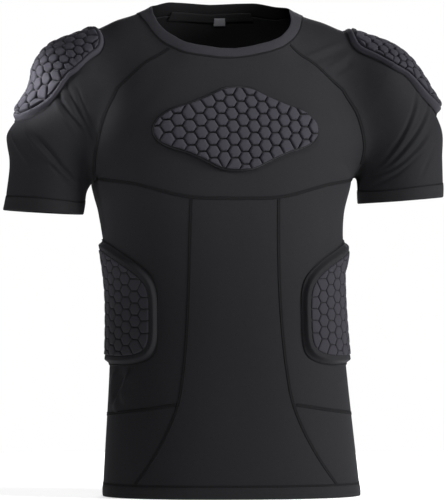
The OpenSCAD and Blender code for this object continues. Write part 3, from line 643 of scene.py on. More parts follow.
@dataclass(frozen=True)
class Cloth:
    """Polyester and elastane knit: faint ribs, a heathered yarn and a soft sheen."""

    name: str
    yarn: str = "#1f1f22"
    shadow: str = "#161618"
    rib_mm: float = 0.9
    rib_depth: float = 0.25
    roughness: float = 0.78
    sheen: float = 0.05
    raised: str = ""

    def make(self) -> bpy.types.Material:
        """Builds the material.

        Returns:
            The material.
        """
        f = Finish(self.name)
        coords = f.add("TexCoord")
        # The yarn is finely mottled, and broader patches are a little paler and rougher.
        mottled = f.noise(coords.outputs["Object"], 220.0, 3.0)
        patchy = f.noise(coords.outputs["Object"], 14.0, 2.0)
        tone = f.mixed(f.math("MULTIPLY_ADD", mottled, 0.6, f.math("MULTIPLY", patchy, 0.4)), self.shadow, self.yarn)
        # On the pads, painted light: what the mesh marks as moulded takes the paler raised colour, which leaves the
        # grooves darker as painted shade.
        if self.raised:
            tone = f.mixed(f.add("Attribute", attribute_name="moulded").outputs["Fac"], tone, self.raised)
        f.link(tone, "Base Color")
        # The ribs run up the cloth, with its courses across them.
        uv = f.add("SeparateXYZ", in_Vector=coords.outputs["UV"])
        turns = 2 * math.pi / (self.rib_mm * MM)
        across = f.math("SINE", f.math("MULTIPLY", uv.outputs[0], turns))
        up = f.math("SINE", f.math("MULTIPLY", uv.outputs[1], turns * 1.3))
        stitch = f.math("MULTIPLY_ADD", up, 0.35, across)
        fuzz = f.math("MULTIPLY_ADD", mottled, 1.4, stitch)
        bump = f.add("Bump", in_Strength=self.rib_depth, in_Distance=0.00012, in_Height=fuzz)
        f.link(bump.outputs[0], "Normal")
        rough = f.add("MapRange", in_Value=patchy, in_3=self.roughness - 0.06, in_4=self.roughness + 0.08)
        f.link(rough.outputs[0], "Roughness")
        f.set(Specular_IOR_Level=0.1, Sheen_Weight=self.sheen, Sheen_Roughness=0.45, Sheen_Tint=shade("#c9c9d4"))
        return f.material


@dataclass(frozen=True)
class Floor:
    """Matt pale paper, slightly uneven."""

    name: str = "studio_paper"

    def make(self) -> bpy.types.Material:
        """Builds the material.

        Returns:
            The material.
        """
        f = Finish(self.name)
        grain = f.noise(f.add("TexCoord").outputs["Object"], 6.0, 2.0)
        f.link(f.mixed(grain, "#f4f4f4", "#fbfbfb"), "Base Color")
        f.set(Roughness=0.95, Specular_IOR_Level=0.1, Emission_Color=(1, 1, 1, 1), Emission_Strength=0.62)
        return f.material


# Warp-knit polyester and elastane jersey, dyed black.
BODY_KNIT = Cloth("black_stretch_jersey")
# Its reverse, seen inside the neck, the sleeves and the hem: matt, and darker than the face as painted shade for the
# inside of the shirt.
SHADED_REVERSE = Cloth("black_jersey_reverse", yarn="#0d0d0f", shadow="#08080a", sheen=0.0)
# The same jersey, folded double in the bands.
BAND_KNIT = Cloth("black_band_jersey", yarn="#202022", shadow="#171719", rib_mm=1.1, rib_depth=0.35)
# The collar's band, in a coarser rib, with a paler yarn than the body as painted light where the collar catches the
# light.
LIT_COLLAR_KNIT = Cloth("black_collar_rib", yarn="#2b2b2f", shadow="#202024", rib_mm=1.3, rib_depth=0.4, sheen=0.08)
# Brushed stretch knit bonded over the moulded foam; its paler colour on the cell tops is painted light, which leaves
# the grooves darker as painted shade.
PAD_KNIT = Cloth("black_pad_cover_knit", rib_mm=0.8, rib_depth=0.2, sheen=0.08, raised="#2f2e34")
# The same cover on the rib pads, which are pressed less deep, with a dimmer painted light on their cell tops.
RIB_PAD_KNIT = Cloth("black_rib_pad_cover_knit", rib_mm=0.8, rib_depth=0.2, sheen=0.08, raised="#29282d")
# Textured polyester seam thread.
SEAM_THREAD = Cloth("black_polyester_thread", yarn="#151517", shadow="#0b0b0d", rib_mm=1.6, rib_depth=0.9, sheen=0.0)
# Herringbone cotton tape inside the neck, in a darker yarn than the jersey as painted shade inside the neck.
NECK_TAPE = Cloth("black_cotton_tape", yarn="#101012", shadow="#0a0a0b", rib_mm=1.4, rib_depth=0.6, sheen=0.05)
# Woven satin label, left bare.
SATIN = Cloth("grey_satin_label", yarn="#606064", shadow="#4c4c50", rib_mm=0.5, rib_depth=0.15, roughness=0.5,
              sheen=0.3)


# ---------------------------------------------------------------- cloth meshes

@dataclass(frozen=True)
class Fold:
    """A soft ridge or valley in the cloth along a bowed line, in mm: x and z of its ends as seen from the front."""

    start: tuple
    end: tuple
    height: float
    width: float = 7
    bow: float = 0
    back: bool = False

    def rise(self, p: Points, n: Points) -> Points:
        """How far the fold lifts each point.

        Args:
            p: Points of the skin.
            n: The skin's outward directions there.

        Returns:
            The lift of each point, in mm.
        """
        a, b = np.array(self.start, float), np.array(self.end, float)
        axis = b - a
        long = np.linalg.norm(axis)
        axis = axis / long
        rel = p[..., [0, 2]] - a
        t = rel @ axis / long
        off = rel @ np.array([-axis[1], axis[0]]) - self.bow * 4 * np.clip(t, 0, 1) * (1 - np.clip(t, 0, 1))
        ends = smooth((t + 0.12) / 0.4) * smooth((1.12 - t) / 0.4)
        facing = smooth((n[..., 1] if self.back else -n[..., 1]) / 0.35)
        return self.height * np.exp(-(off / self.width) ** 2) * ends * facing


SLEEVE_FOLDS = (
    Fold((262, 576), (208, 464), -1.7, 3.0, 6), Fold((268, 576), (212, 462), 1.0, 3.0, 7),
    Fold((285, 560), (213, 460), -1.7, 2.8, 5), Fold((288, 555), (218, 458), 1.0, 2.8, 6),
    Fold((278, 516), (204, 450), -1.8, 3.0, 8), Fold((280, 508), (207, 447), 1.1, 3.0, 9),
    Fold((273, 492), (201, 434), -1.8, 3.2, 3), Fold((286, 492), (264, 447), -1.3, 2.8, 1),
    Fold((182, 476), (198, 432), -3.0, 8, 3),
    Fold((-290, 531), (-249, 476), 3.4, 2.6, -7), Fold((-279, 525), (-213, 458), -3.6, 2.8, -6),
    Fold((-302, 525), (-280, 471), 2.4, 2.6, -7), Fold((-262, 484), (-224, 453), -2.4, 2.6, -2),
    Fold((-264, 576), (-201, 513), -3.4, 2.8, 1), Fold((-268, 569), (-208, 505), 2.2, 2.8, 0),
    Fold((-248, 584), (-197, 519), -3.4, 2.8, 0), Fold((-256, 578), (-200, 514), 2.4, 2.8, 0),
    Fold((-240, 591), (-190, 508), -2.6, 3.4, 4),
    Fold((-250, 560), (-200, 455), 2.2, 6, -8, True), Fold((-285, 520), (-215, 445), -2.2, 5, -4, True),
    Fold((250, 565), (202, 452), 2.4, 6, 10, True), Fold((290, 510), (215, 442), -2.2, 5, 6, True),
    Fold((106, 621), (172, 639), 1.7, 3.6, -2), Fold((112, 615), (174, 632), -1.5, 3.6, -3),
    Fold((141, 603), (176, 624), 1.4, 3.4, -1), Fold((148, 596), (178, 616), -1.5, 3.4, -3),
)
BODY_FOLDS = (
    Fold((-120, 596), (-182, 500), 1.0, 9, -6), Fold((-100, 590), (-172, 486), -0.9, 8, -6),
    Fold((-144, 180), (-155, 135), 4.2, 3.0, -2), Fold((-153, 180), (-167, 134), -4.6, 3.8, -1),
    Fold((-162, 180), (-171, 138), 3.4, 2.8, -1), Fold((-157, 156), (-165, 120), 3.4, 3.0, -1),
    Fold((168, 168), (140, 158), 0.8, 5, 0),
    Fold((-80, 300), (80, 292), 0.9, 9, 6, True), Fold((-90, 262), (90, 270), -0.8, 9, -5, True),
    Fold((-120, 420), (-178, 446), 1.4, 7, 4, True), Fold((120, 422), (178, 446), 1.4, 7, -4, True),
)


class Side(Enum):
    """Which arm a piece belongs to."""

    LEFT = 1
    RIGHT = -1

    @property
    def word(self) -> str:
        """The side's name in lower case."""
        return self.name.lower()

    @property
    def mirror(self) -> Points:
        """What turns points of the left side into this side's."""
        return np.array([self.value, 1, 1])


def weld(bm: bmesh.types.BMesh) -> None:
    """Merges a mesh's doubled points and drops its slivers."""
    bmesh.ops.remove_doubles(bm, verts=bm.verts, dist=WELD)
    bmesh.ops.dissolve_degenerate(bm, edges=bm.edges, dist=SLIVER)


def lay_grid(bm: bmesh.types.BMesh, columns: int, rows: int, place: Callable, size: tuple, folds: Sequence = (),
             skin: Skin | None = None, side: Side = Side.LEFT) -> None:
    """Adds a grid and moves its points onto the form.

    Args:
        bm: The mesh in the making.
        columns: Faces across.
        rows: Faces up.
        place: Gives points in mm from their shares across and up.
        size: Width and length of the flat cut, in mm, for the weave.
        folds: Folds that lift the cloth.
        skin: The form, where there are folds.
        side: RIGHT mirrors what place gives.
    """
    weave = bm.loops.layers.uv.verify()
    made = bmesh.ops.create_grid(bm, x_segments=columns, y_segments=rows, size=1.0)["verts"]
    flat = np.array([v.co[:2] for v in made]) / 2 + 0.5
    points = place(flat[:, 0], flat[:, 1]) * side.mirror
    if folds:
        normals = skin.normal_at(points)
        points = points + normals * sum(f.rise(points, normals) for f in folds)[..., None]
    shares = {}
    for vertex, share, point in zip(made, flat, points):
        shares[vertex] = (share[0] * size[0] * MM, share[1] * size[1] * MM)
        vertex.co = point * MM
    for face in {face for v in made for face in v.link_faces}:
        for loop in face.loops:
            loop[weave].uv = shares[loop.vert]


def finish_mesh(bm: bmesh.types.BMesh, name: str, material: bpy.types.Material, skin: Skin | None = None,
                thick: float = 0.0, rounds: int = 0, lining: bpy.types.Material | None = None) -> bpy.types.Object:
    """Turns a mesh in the making into an object with its modifiers settled.

    Args:
        bm: The mesh, freed here.
        name: The object's name.
        material: Its finish.
        skin: The form, by whose outward directions the faces are turned.
        thick: Thickness to give it inwards, in mm.
        rounds: Levels of subdivision.
        lining: A darker finish for the side that faces inwards, painted shade for the inside of the cloth.

    Returns:
        The object.
    """
    weld(bm)
    bm.normal_update()
    if skin is not None and bm.faces:
        centres = np.array([f.calc_center_median() for f in bm.faces]) / MM
        normals = np.array([f.normal for f in bm.faces])
        if np.sum(normals * skin.normal_at(centres), axis=1).mean() < 0:
            bmesh.ops.reverse_faces(bm, faces=bm.faces)
    mesh = bpy.data.meshes.new(name)
    for face in bm.faces:
        face.smooth = True
    bm.to_mesh(mesh)
    bm.free()
    obj = bpy.data.objects.new(name, mesh)
    bpy.context.collection.objects.link(obj)
    if rounds:
        mod = obj.modifiers.new("rounding", "SUBSURF")
        mod.levels = mod.render_levels = rounds
    if thick:
        mod = obj.modifiers.new("thickness", "SOLIDIFY")
        mod.thickness, mod.offset = thick * MM, -1
    if obj.modifiers:
        bpy.context.view_layer.update()
        settled = bpy.data.meshes.new_from_object(obj.evaluated_get(bpy.context.evaluated_depsgraph_get()))
        obj.modifiers.clear()
        obj.data = settled
        settled.name = name
    obj.data.materials.clear()
    obj.data.materials.append(material)
    if lining is not None:
        obj.data.materials.append(lining)
        # Faces that look inwards, but not the edges of the cloth, take the darker finish as painted shade.
        centres, normals = np.zeros((2, len(obj.data.polygons) * 3))
        obj.data.polygons.foreach_get("center", centres)
        obj.data.polygons.foreach_get("normal", normals)
        outward = skin.normal_at(centres.reshape(-1, 3) / MM)
        inside = (normals.reshape(-1, 3) * outward).sum(1) < -0.2
        obj.data.polygons.foreach_set("material_index", inside.astype(np.int32))
    if skin is not None:
        hang(obj)
    return obj


def hang(obj: bpy.types.Object) -> None:
    """Moves a finished piece to where the shirt hangs."""
    obj.data.vertices.foreach_set("co", (HANG.apply(world_points(obj) / MM) * MM).ravel())
    obj.data.update()


def world_points(obj: bpy.types.Object) -> Points:
    """The vertices of a finished piece.

    Args:
        obj: The piece.

    Returns:
        Its vertices in metres.
    """
    flat = np.zeros(len(obj.data.vertices) * 3)
    obj.data.vertices.foreach_get("co", flat)
    return flat.reshape(-1, 3)


def declare_cloth(obj: bpy.types.Object, width: float, length: float) -> None:
    """Works out a stretched cloth's cut, grown until its area matches the cloth's where the cloth is larger; nothing
    is kept of it.

    Args:
        obj: The cloth, with a face on both sides.
        width: Width of the cut, in mm.
        length: Length of the cut, in mm.
    """
    area = sum(p.area for p in obj.data.polygons) / 2
    w, l = width * MM, length * MM
    grow = max(1.0, math.sqrt(area / (w * l)) * 1.001)
    w, l = w * grow, l * grow


def dress(obj: bpy.types.Object, body: str, slot: str, *nodes: str) -> None:
    """Hangs a torso piece on the torso's empty, or else bakes a piece's place into its mesh; hides the CAD nodes that
    it stands for, and reports it.

    Args:
        obj: The piece.
        body: The body that it belongs to; only a torso piece is hung on an empty.
        slot: Not used.
        *nodes: The CAD nodes that it stands for.
    """
    if body == "torso":
        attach(obj, "torso")
    else:
        side = Side[body.split("_")[0].upper()].value
        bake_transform(obj)
    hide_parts(*nodes)
    log.info("%s: %d faces on %s", obj.name, len(obj.data.polygons), body)


def signed(line: Callable, key_sign: int = 1, value_sign: int = 1) -> Callable:
    """A line of the pattern mirrored by the sign of its key or of its value."""
    return lambda key: value_sign * line(key_sign * key)


# ---------------------------------------------------------------- panels of the body

@dataclass
class Panels:
    """The panels that clothe the trunk."""

    pattern: Pattern
    knit: bpy.types.Material
    reverse: bpy.types.Material
    spacing: float = 2.5
    fabric_t: float = 1.2

    def between(self, left: Callable, right: Callable, low: Callable, high: Callable) -> Callable:
        """A panel between two seams that run down the body and two that run round it.

        Args:
            left: Angle of one seam at a height.
            right: Angle of the other.
            low: Height of the lower seam at an angle.
            high: Height of the upper one.

        Returns:
            What places the panel's points.
        """
        skin = self.pattern.skin

        def place(u: Points, v: Points) -> Points:
            """Points of the panel.

            Args:
                u: Shares across.
                v: Shares up.

            Returns:
                The points in mm.
            """
            a0 = mix(left(skin.waist_h), right(skin.waist_h), u)
            z0 = mix(low(a0), high(a0), v)
            a1 = mix(left(z0), right(z0), u)
            z = mix(low(a1), high(a1), v)
            return skin.round_body(mix(left(z), right(z), u), z)

        return place

    def upper(self, back: bool) -> Callable:
        """The chest or the upper back: from the seam round the body, between the raglan seams, to the collar.

        Args:
            back: Whether it is the upper back.

        Returns:
            What places the panel's points.
        """
        p, skin = self.pattern, self.pattern.skin
        keys = np.linspace(0, 1, 121)
        near = p.raglan(keys, back)
        far = near * Side.RIGHT.mirror
        angles = mix(-90, 90, keys)
        bottom = (skin.round_body(180 - angles, p.yoke_line(180 - np.abs(angles))) if back
                  else skin.round_body(angles, p.chest_line(angles)))
        bottom[0], bottom[-1] = far[0], near[0]
        reach = (180 - p.top_back) if back else p.top_front
        top_angle = mix(-reach, reach, keys)
        top = p.collar_edge(180 - top_angle if back else top_angle)

        def place(u: Points, v: Points) -> Points:
            """Points of the panel, from its four edges and then settled on the skin.

            Args:
                u: Shares across.
                v: Shares up.

            Returns:
                The points in mm.
            """
            uu, vv = u[:, None], v[:, None]
            guide = (mix(read_line(bottom, keys, u), read_line(top, keys, u), vv)
                     + mix(read_line(far, keys, v), read_line(near, keys, v), uu)
                     - mix(mix(bottom[0], bottom[-1], uu), mix(top[0], top[-1], uu), vv))
            inside = (u > NEAR) & (u < 1 - NEAR) & (v > NEAR) & (v < 1 - NEAR)
            return np.where(inside[:, None], skin.settle(guide), guide)

        return place

    def build(self) -> None:
        """Makes every panel."""
        p = self.pattern
        front, back = p.front_princess, p.back_princess
        # What places each panel, with the width and length of its cut in mm.
        sections = {
            "front_centre_panel": (self.between(signed(front, 1, -1), front, p.hem_line, p.chest_line), 210, 430),
            "back_centre_panel": (self.between(back, lambda z: 360 - back(z), p.hem_line, p.yoke_line), 250, 430),
            "front_chest_panel": (self.upper(False), 470, 240),
            "upper_back_panel": (self.upper(True), 470, 260),
        }
        for side in Side:
            k = side.value
            edges = signed(front, 1, k), signed(back, 1, k)
            hem, hip, top = (signed(line, k) for line in (p.hem_line, p.hip_line, p.top_line))
            sections[f"{side.word}_side_panel"] = (self.between(*edges, hip, top), 260, 340)
            sections[f"{side.word}_hip_panel"] = (self.between(*edges, hem, hip), 290, 115)
        for node, (place, width, length) in sections.items():
            bm = bmesh.new()
            columns, rows = (round(reach / self.spacing) for reach in (width, length))
            lay_grid(bm, columns, rows, place, (width, length), BODY_FOLDS, p.skin)
            obj = finish_mesh(bm, node + "_cloth", self.knit, p.skin, self.fabric_t, lining=self.reverse)
            dress(obj, "torso", "body_knit", node)
            declare_cloth(obj, width, length)


@dataclass
class Sleeves:
    """The two raglan sleeves with their cuffs, each cut in one piece from the collar to the cuff seam."""

    pattern: Pattern
    knit: bpy.types.Material
    reverse: bpy.types.Material
    band: bpy.types.Material
    ring_steps: int = 216
    rows: int = 112
    top_rows: int = 34
    cuff_steps: int = 120
    fabric_t: float = 1.2
    # Width and length of each cut, in mm: the sleeve, its part down the arm, its part over the shoulder, the cuff.
    sleeve_cut: tuple = (370, 270)
    arm_cut: tuple = (370, 190)
    shoulder_cut: tuple = (210, 70)
    cuff_cut: tuple = (370, 34)

    def arm(self, u: Points, v: Points) -> Points:
        """The left sleeve below the armhole line, by shares round it and down it."""
        angle = mix(-180, 180, u)
        return self.pattern.sleeve_ring(angle, v * self.pattern.cuff_start(angle))

    def shoulder(self, u: Points, v: Points) -> Points:
        """The part over the left shoulder.

        Args:
            u: Shares from the front to the back.
            v: Shares from the armhole line to the raglan seams and the collar.

        Returns:
            The points in mm.
        """
        p, skin = self.pattern, self.pattern.skin
        leaves, split = p.raglan_leaves, p.raglan_split
        outer = p.armhole(mix(leaves, 180 - leaves, u))
        # Each raglan seam takes this share of the inner edge, and the collar the rest.
        part = 0.3
        front = p.raglan(mix(split, 1, np.clip(u / part, 0, 1)), False)
        back = p.raglan(mix(split, 1, np.clip((1 - u) / part, 0, 1)), True)
        neck = p.collar_edge(mix(p.top_front, p.top_back, np.clip((u - part) / (1 - 2 * part), 0, 1)))
        inner = np.where((u <= part)[:, None], front, np.where((u >= 1 - part)[:, None], back, neck))
        guide = mix(outer, inner, v[:, None])
        core = vectors(mix(p.hinge_x - 2, skin.neck_w / 2 - 8, v), 6, skin.shoulder_h + 12)
        laid = skin.cast(core, guide - core)
        return np.where((v < NEAR)[:, None], outer, np.where((v > 1 - NEAR)[:, None], inner, laid))

    def build(self) -> None:
        """Makes both sleeves and their cuffs."""
        p, skin = self.pattern, self.pattern.skin
        # The share of the armhole that the shoulder's part takes.
        share = (180 - 2 * p.raglan_leaves) / 360
        for side in Side:
            bm = bmesh.new()
            lay_grid(bm, self.ring_steps, self.rows, self.arm, self.arm_cut, SLEEVE_FOLDS, skin, side)
            lay_grid(bm, round(self.ring_steps * share), self.top_rows, self.shoulder, self.shoulder_cut,
                     SLEEVE_FOLDS, skin, side)
            weld(bm)
            bmesh.ops.recalc_face_normals(bm, faces=bm.faces)
            obj = finish_mesh(bm, f"{side.word}_raglan_sleeve_cloth", self.knit, skin, self.fabric_t,
                              lining=self.reverse)
            declare_cloth(obj, *self.sleeve_cut)
            dress(obj, f"{side.word}_sleeve", "body_knit", f"{side.word}_sleeve", f"{side.word}_shoulder_section")
            self.build_cuff(side)

    def build_cuff(self, side: Side) -> None:
        """Makes a cuff: the hem of the sleeve, turned up and topstitched.

        Args:
            side: The arm that it is on.
        """
        p, skin = self.pattern, self.pattern.skin
        # Share of the cuff's width and lift off the skin, round the folded band.
        profile = [(0.0, 0.2), (0.05, 0.75), (0.5, 0.85), (0.93, 0.8), (1.0, 0.3), (1.03, -0.9), (0.93, -1.7),
                   (0.3, -1.9), (0.0, -1.7)]
        shares, lifts = np.array(profile).T
        keys = np.linspace(0, 1, len(profile))

        def place(u: Points, v: Points) -> Points:
            """Points of the band.

            Args:
                u: Shares round the arm.
                v: Shares round the folded band.

            Returns:
                The points in mm.
            """
            angle = mix(-180, 180, u)
            start = p.cuff_start(angle)
            on = p.sleeve_point(angle, mix(start, 1.0, np.interp(v, keys, shares))) * side.mirror
            return on + skin.normal_at(on) * np.interp(v, keys, lifts)[:, None]

        bm = bmesh.new()
        lay_grid(bm, self.cuff_steps, 3 * (len(profile) - 1), place, self.cuff_cut)
        obj = finish_mesh(bm, f"{side.word}_cuff_band", self.band, skin)
        dress(obj, f"{side.word}_sleeve", "band_knit", f"{side.word}_cuff")


# ---------------------------------------------------------------- seams and bands

@dataclass
class Trim:
    """Flatlock seams, the collar and hem bands, the neck tape and the bare label.

    side_reach is how far round the chest seam and the yoke seam run from their middles, in degrees, and tape_gap how
    far the neck tape stays behind the raglan seams. The depths are how far inside the skin the tape and the label lie.
    """

    pattern: Pattern
    thread: bpy.types.Material
    band: bpy.types.Material
    collar: bpy.types.Material
    reverse: bpy.types.Material
    tape: bpy.types.Material
    satin: bpy.types.Material
    stitch_step: float = 2.5
    side_reach: float = 86
    tape_w: float = 12
    tape_t: float = 0.72
    tape_depth: float = 2.28
    tape_gap: float = 3
    label_w: float = 16
    label_h: float = 11
    label_t: float = 0.3
    label_depth: float = 3.3
    label_drop: float = 4.5
    nape_r: float = 76

    def seam(self, node: str, lines: Sequence, body: str = "torso", width: float = 5.0, lift: float = 0.75,
             closed: bool = False, sink: float = 0.4, name: str = "") -> None:
        """Makes a flatlock seam: two rows of looper thread over a butted edge.

        Args:
            node: The node it stands for.
            lines: Lines of points on the skin.
            body: The body it moves with.
            width: Width of the seam.
            lift: How high its rows stand.
            closed: Whether each line is a loop.
            sink: How far its edges are tucked in.
            name: The piece's name, where it isn't the node's with _thread.
        """
        skin = self.pattern.skin
        bm = bmesh.new()
        across = np.array([-0.5, -0.46, -0.3, -0.12, 0, 0.12, 0.3, 0.46, 0.5]) * width
        height = np.array([-sink, 0.65 * lift, lift, 0.7 * lift, 0.55 * lift, 0.7 * lift, lift, 0.65 * lift, -sink])
        keys = np.linspace(0, 1, len(across))
        for line in lines:
            line = np.concatenate([line, line[:1]]) if closed else np.array(line)
            run = run_of(line)
            share = run / run[-1]

            def at(t: Points) -> Points:
                """Points of the line, by share of its length."""
                return read_line(line, share, np.mod(t, 1) if closed else np.clip(t, 0, 1))

            def place(u: Points, v: Points) -> Points:
                """Points of the thread.

                Args:
                    u: Shares along the line.
                    v: Shares across the seam.

                Returns:
                    The points in mm.
                """
                step = self.stitch_step / run[-1]
                on = np.where((u > 1 - NEAR)[:, None], line[-1], at(u))
                n = skin.normal_at(on)
                side = unit(np.cross(unit(at(u + step) - at(u - step)), n))
                return on + side * np.interp(v, keys, across)[:, None] + n * np.interp(v, keys, height)[:, None]

            lay_grid(bm, max(4, round(run[-1] / self.stitch_step)), len(across) - 1, place, (run[-1], width))
        dress(finish_mesh(bm, name or node + "_thread", self.thread, skin), body, "thread", node)

    def build_seams(self) -> None:
        """Makes every seam of the shirt."""
        p, skin = self.pattern, self.pattern.skin
        flip = Side.RIGHT.mirror
        turn = np.linspace(0, 1, 161)
        a = mix(-self.side_reach, self.side_reach, turn)
        self.seam("chest_seam", [skin.round_body(a, p.chest_line(a))])
        a = mix(180 - self.side_reach, 180 + self.side_reach, turn)
        self.seam("back_yoke_seam", [skin.round_body(a, p.yoke_line(a))])
        lines = [p.raglan(np.linspace(0.1, 0.985, 141), back) for back in (False, True)]
        self.seam("raglan_seams", lines + [line * flip for line in lines], lift=1.1)
        # The princess seams, from just over the hem band to under the chest seam and the yoke seam.
        z = mix(p.hem_band_h + 2, skin.armpit_h - 36, turn)
        front = skin.round_body(p.front_princess(z), z)
        z = mix(p.hem_band_h + 2, skin.armpit_h - 24, turn)
        back = skin.round_body(p.back_princess(z), z)
        self.seam("princess_seams", [front, front * flip, back, back * flip])
        # The hip seams, from one princess seam to the other.
        hip_h = np.array(130.0)
        a = mix(p.front_princess(hip_h) + 1.5, p.back_princess(hip_h) - 1.5, turn)
        hip = skin.round_body(a, p.hip_line(a))
        self.seam("hip_seams", [hip, hip * flip])
        ring = np.linspace(0, 360, 240, endpoint=False)
        self.seam("collar_seam", [p.collar_edge(ring)], width=3.2, lift=0.8, closed=True)
        self.seam("hem_seam", [skin.round_body(ring, p.hem_line(ring))], width=3.0, lift=0.7, closed=True)
        for side in Side:
            sleeve = f"{side.word}_sleeve"
            cuff = p.sleeve_point(ring, p.cuff_start(ring)) * side.mirror
            self.seam(f"{side.word}_cuff_seam", [cuff], sleeve, 3.0, 0.7, True)
            v = np.linspace(0.05, float(p.cuff_start(np.array(180.0))) - 0.02, 60)
            self.seam(f"{side.word}_underarm_seam", [p.sleeve_ring(180 + 0 * v, v) * side.mirror], sleeve)

    def band_loop(self, node: str, knit: bpy.types.Material, place: Callable, steps: int, rows: int,
                  size: tuple) -> None:
        """Makes a band that runs round the body as a closed, rolled loop.

        Args:
            node: The node it stands for.
            knit: Its finish.
            place: What places its points.
            steps: Faces round the body.
            rows: Faces round the folded band.
            size: Length and unfolded width of the band, in mm.
        """
        bm = bmesh.new()
        lay_grid(bm, steps, rows, place, size)
        dress(finish_mesh(bm, node + "_knit", knit, self.pattern.skin, lining=self.reverse), "torso", "band_knit",
              node)

    def build_bands(self) -> None:
        """Makes the collar band and the hem band."""
        p, skin = self.pattern, self.pattern.skin
        # Share of the band's width and lift off the skin, round the folded band.
        section = [(0.04, 0.0), (0.08, 0.9), (0.35, 1.5), (0.7, 1.3), (0.95, 0.6), (1.0, -0.4), (0.93, -1.6),
                   (0.6, -2.0), (0.2, -1.9), (0.04, -1.6), (0.04, 0.0)]
        shares, lifts = np.array(section).T
        keys = np.linspace(0, 1, len(section))
        # The collar band's width by angle round the neck, where its widest is collar_band_w.
        widths = [(0, 13), (45, 14), (90, 15), (120, 18), (180, 19)]

        def folded(angle: Points, z: Points, lift: Points) -> Points:
            """Points of the skin, moved level off it.

            Args:
                angle: Angles round the body.
                z: Heights.
                lift: How far off.

            Returns:
                The points in mm.
            """
            on = skin.round_body(angle, z)
            return on + unit(skin.normal_at(on) * np.array([1, 1, 0.0])) * lift[:, None]

        def collar(u: Points, v: Points) -> Points:
            """Points of the collar band.

            Args:
                u: Shares round the neck.
                v: Shares round the folded band.

            Returns:
                The points in mm.
            """
            angle = mix(0, 360, u)
            rise = along(widths, np.where(angle > 180, 360 - angle, angle)) * p.collar_band_w / widths[-1][1]
            return folded(angle, p.collar_height(angle) + rise * np.interp(v, keys, shares), np.interp(v, keys, lifts))

        def hem(u: Points, v: Points) -> Points:
            """Points of the hem band.

            Args:
                u: Shares round the hem.
                v: Shares round the folded band.

            Returns:
                The points in mm.
            """
            up = np.interp(v, keys, 1 - shares)
            return folded(mix(0, 360, u), up * (p.hem_band_h - 0.4), np.interp(v, keys, lifts) * 0.7)

        self.band_loop("collar_band", self.collar, collar, 220, 30, (620, 40))
        self.band_loop("hem_band", self.band, hem, 300, 24, (980, 46))

    def build_neck(self, camera: "Camera") -> bpy.types.Object:
        """Makes the tape inside the back of the neck and the bare label on it.

        Args:
            camera: The camera, through which the label is placed.

        Returns:
            The label.
        """
        p, skin = self.pattern, self.pattern.skin

        def tape(u: Points, v: Points) -> Points:
            """Points of the tape.

            Args:
                u: Shares from one raglan seam to the other.
                v: Shares up.

            Returns:
                The points in mm.
            """
            angle = mix(p.top_back + self.tape_gap, 360 - self.tape_gap - p.top_back, u)
            on = skin.round_body(angle, p.collar_height(angle) + mix(-self.tape_w / 2, self.tape_w / 2, v))
            return on - skin.normal_at(on) * self.tape_depth

        bm = bmesh.new()
        lay_grid(bm, 70, 6, tape, (140, self.tape_w))
        obj = finish_mesh(bm, "neck_tape_cotton", self.tape, skin, self.tape_t)
        dress(obj, "torso", "neck_tape", "neck_tape")
        spot = camera.place_on(IMAGE_POINTS["size_label"], obj) / MM
        # The angle round the neck that the spot had before the shirt was hung.
        middle = 180 - math.degrees(math.atan2(spot[0] - HANG.lean[-1][1], spot[1])) - HANG.turn[-1][1]
        half = math.degrees(math.asin(self.label_w / 2 / self.nape_r))
        label_z = float(p.collar_height(np.array(180.0))) - self.label_drop

        def label(u: Points, v: Points) -> Points:
            """Points of the label, which puffs a little between its stitched edges.

            Args:
                u: Shares across.
                v: Shares up.

            Returns:
                The points in mm.
            """
            on = skin.round_body(mix(middle - half, middle + half, u),
                                 label_z + mix(-self.label_h / 2, self.label_h / 2, v))
            puff = 0.25 * np.sin(np.pi * u) * np.sin(np.pi * v)
            return on - skin.normal_at(on) * (self.label_depth + puff)[:, None]

        bm = bmesh.new()
        lay_grid(bm, 16, 11, label, (self.label_w, self.label_h))
        obj = finish_mesh(bm, "size_label_satin", self.satin, skin, self.label_t)
        dress(obj, "torso", "label_satin", "size_label")
        return obj


# ---------------------------------------------------------------- pads

@dataclass(frozen=True)
class PadShape:
    """A moulded pad's outline and how its cells and rim are cut, in mm.

    rim gives steps outwards from the field of cells, each with its height over the skin. floor and crown are the
    heights of the grooves and of the cells, groove and wall the widths of a groove's half and of a cell's side.
    flare swells a pad's foot, and slide and foot_slide move the pad and its foot across its site.
    """

    name: str
    body: str
    outline: tuple
    rim: tuple
    pitch: float = 17.1
    lean: float = 5.0
    shift: tuple = (0.0, 0.0)
    floor: float = 5.2
    groove: float = 0.7
    wall: float = 0.55
    crown: float = 9.6
    least_cell: float = 0.3
    flare: float = 0.0
    bright_rim: bool = False
    slide: float = 0.0
    foot_slide: float = 0.0


LOW_RIM = ((0.5, 5.6), (1.2, 4.2), (1.8, 2.2), (2.4, 1.3), (4.2, 0.95))
WIDE_RIM = ((0.8, 7.2), (3.4, 7.0), (5.2, 5.2), (6.6, 2.6), (7.4, 1.4), (9.4, 0.95))
RIB_RIM = ((0.7, 7.6), (4.0, 7.4), (6.0, 8.0), (7.8, 6.2), (9.4, 3.2), (11.0, 1.3), (14.0, 0.7))


def with_mirror(half: Sequence) -> list:
    """Completes an outline from its right half."""
    return list(half) + [(-x, y) for x, y in reversed(half) if abs(x) > 0.001]


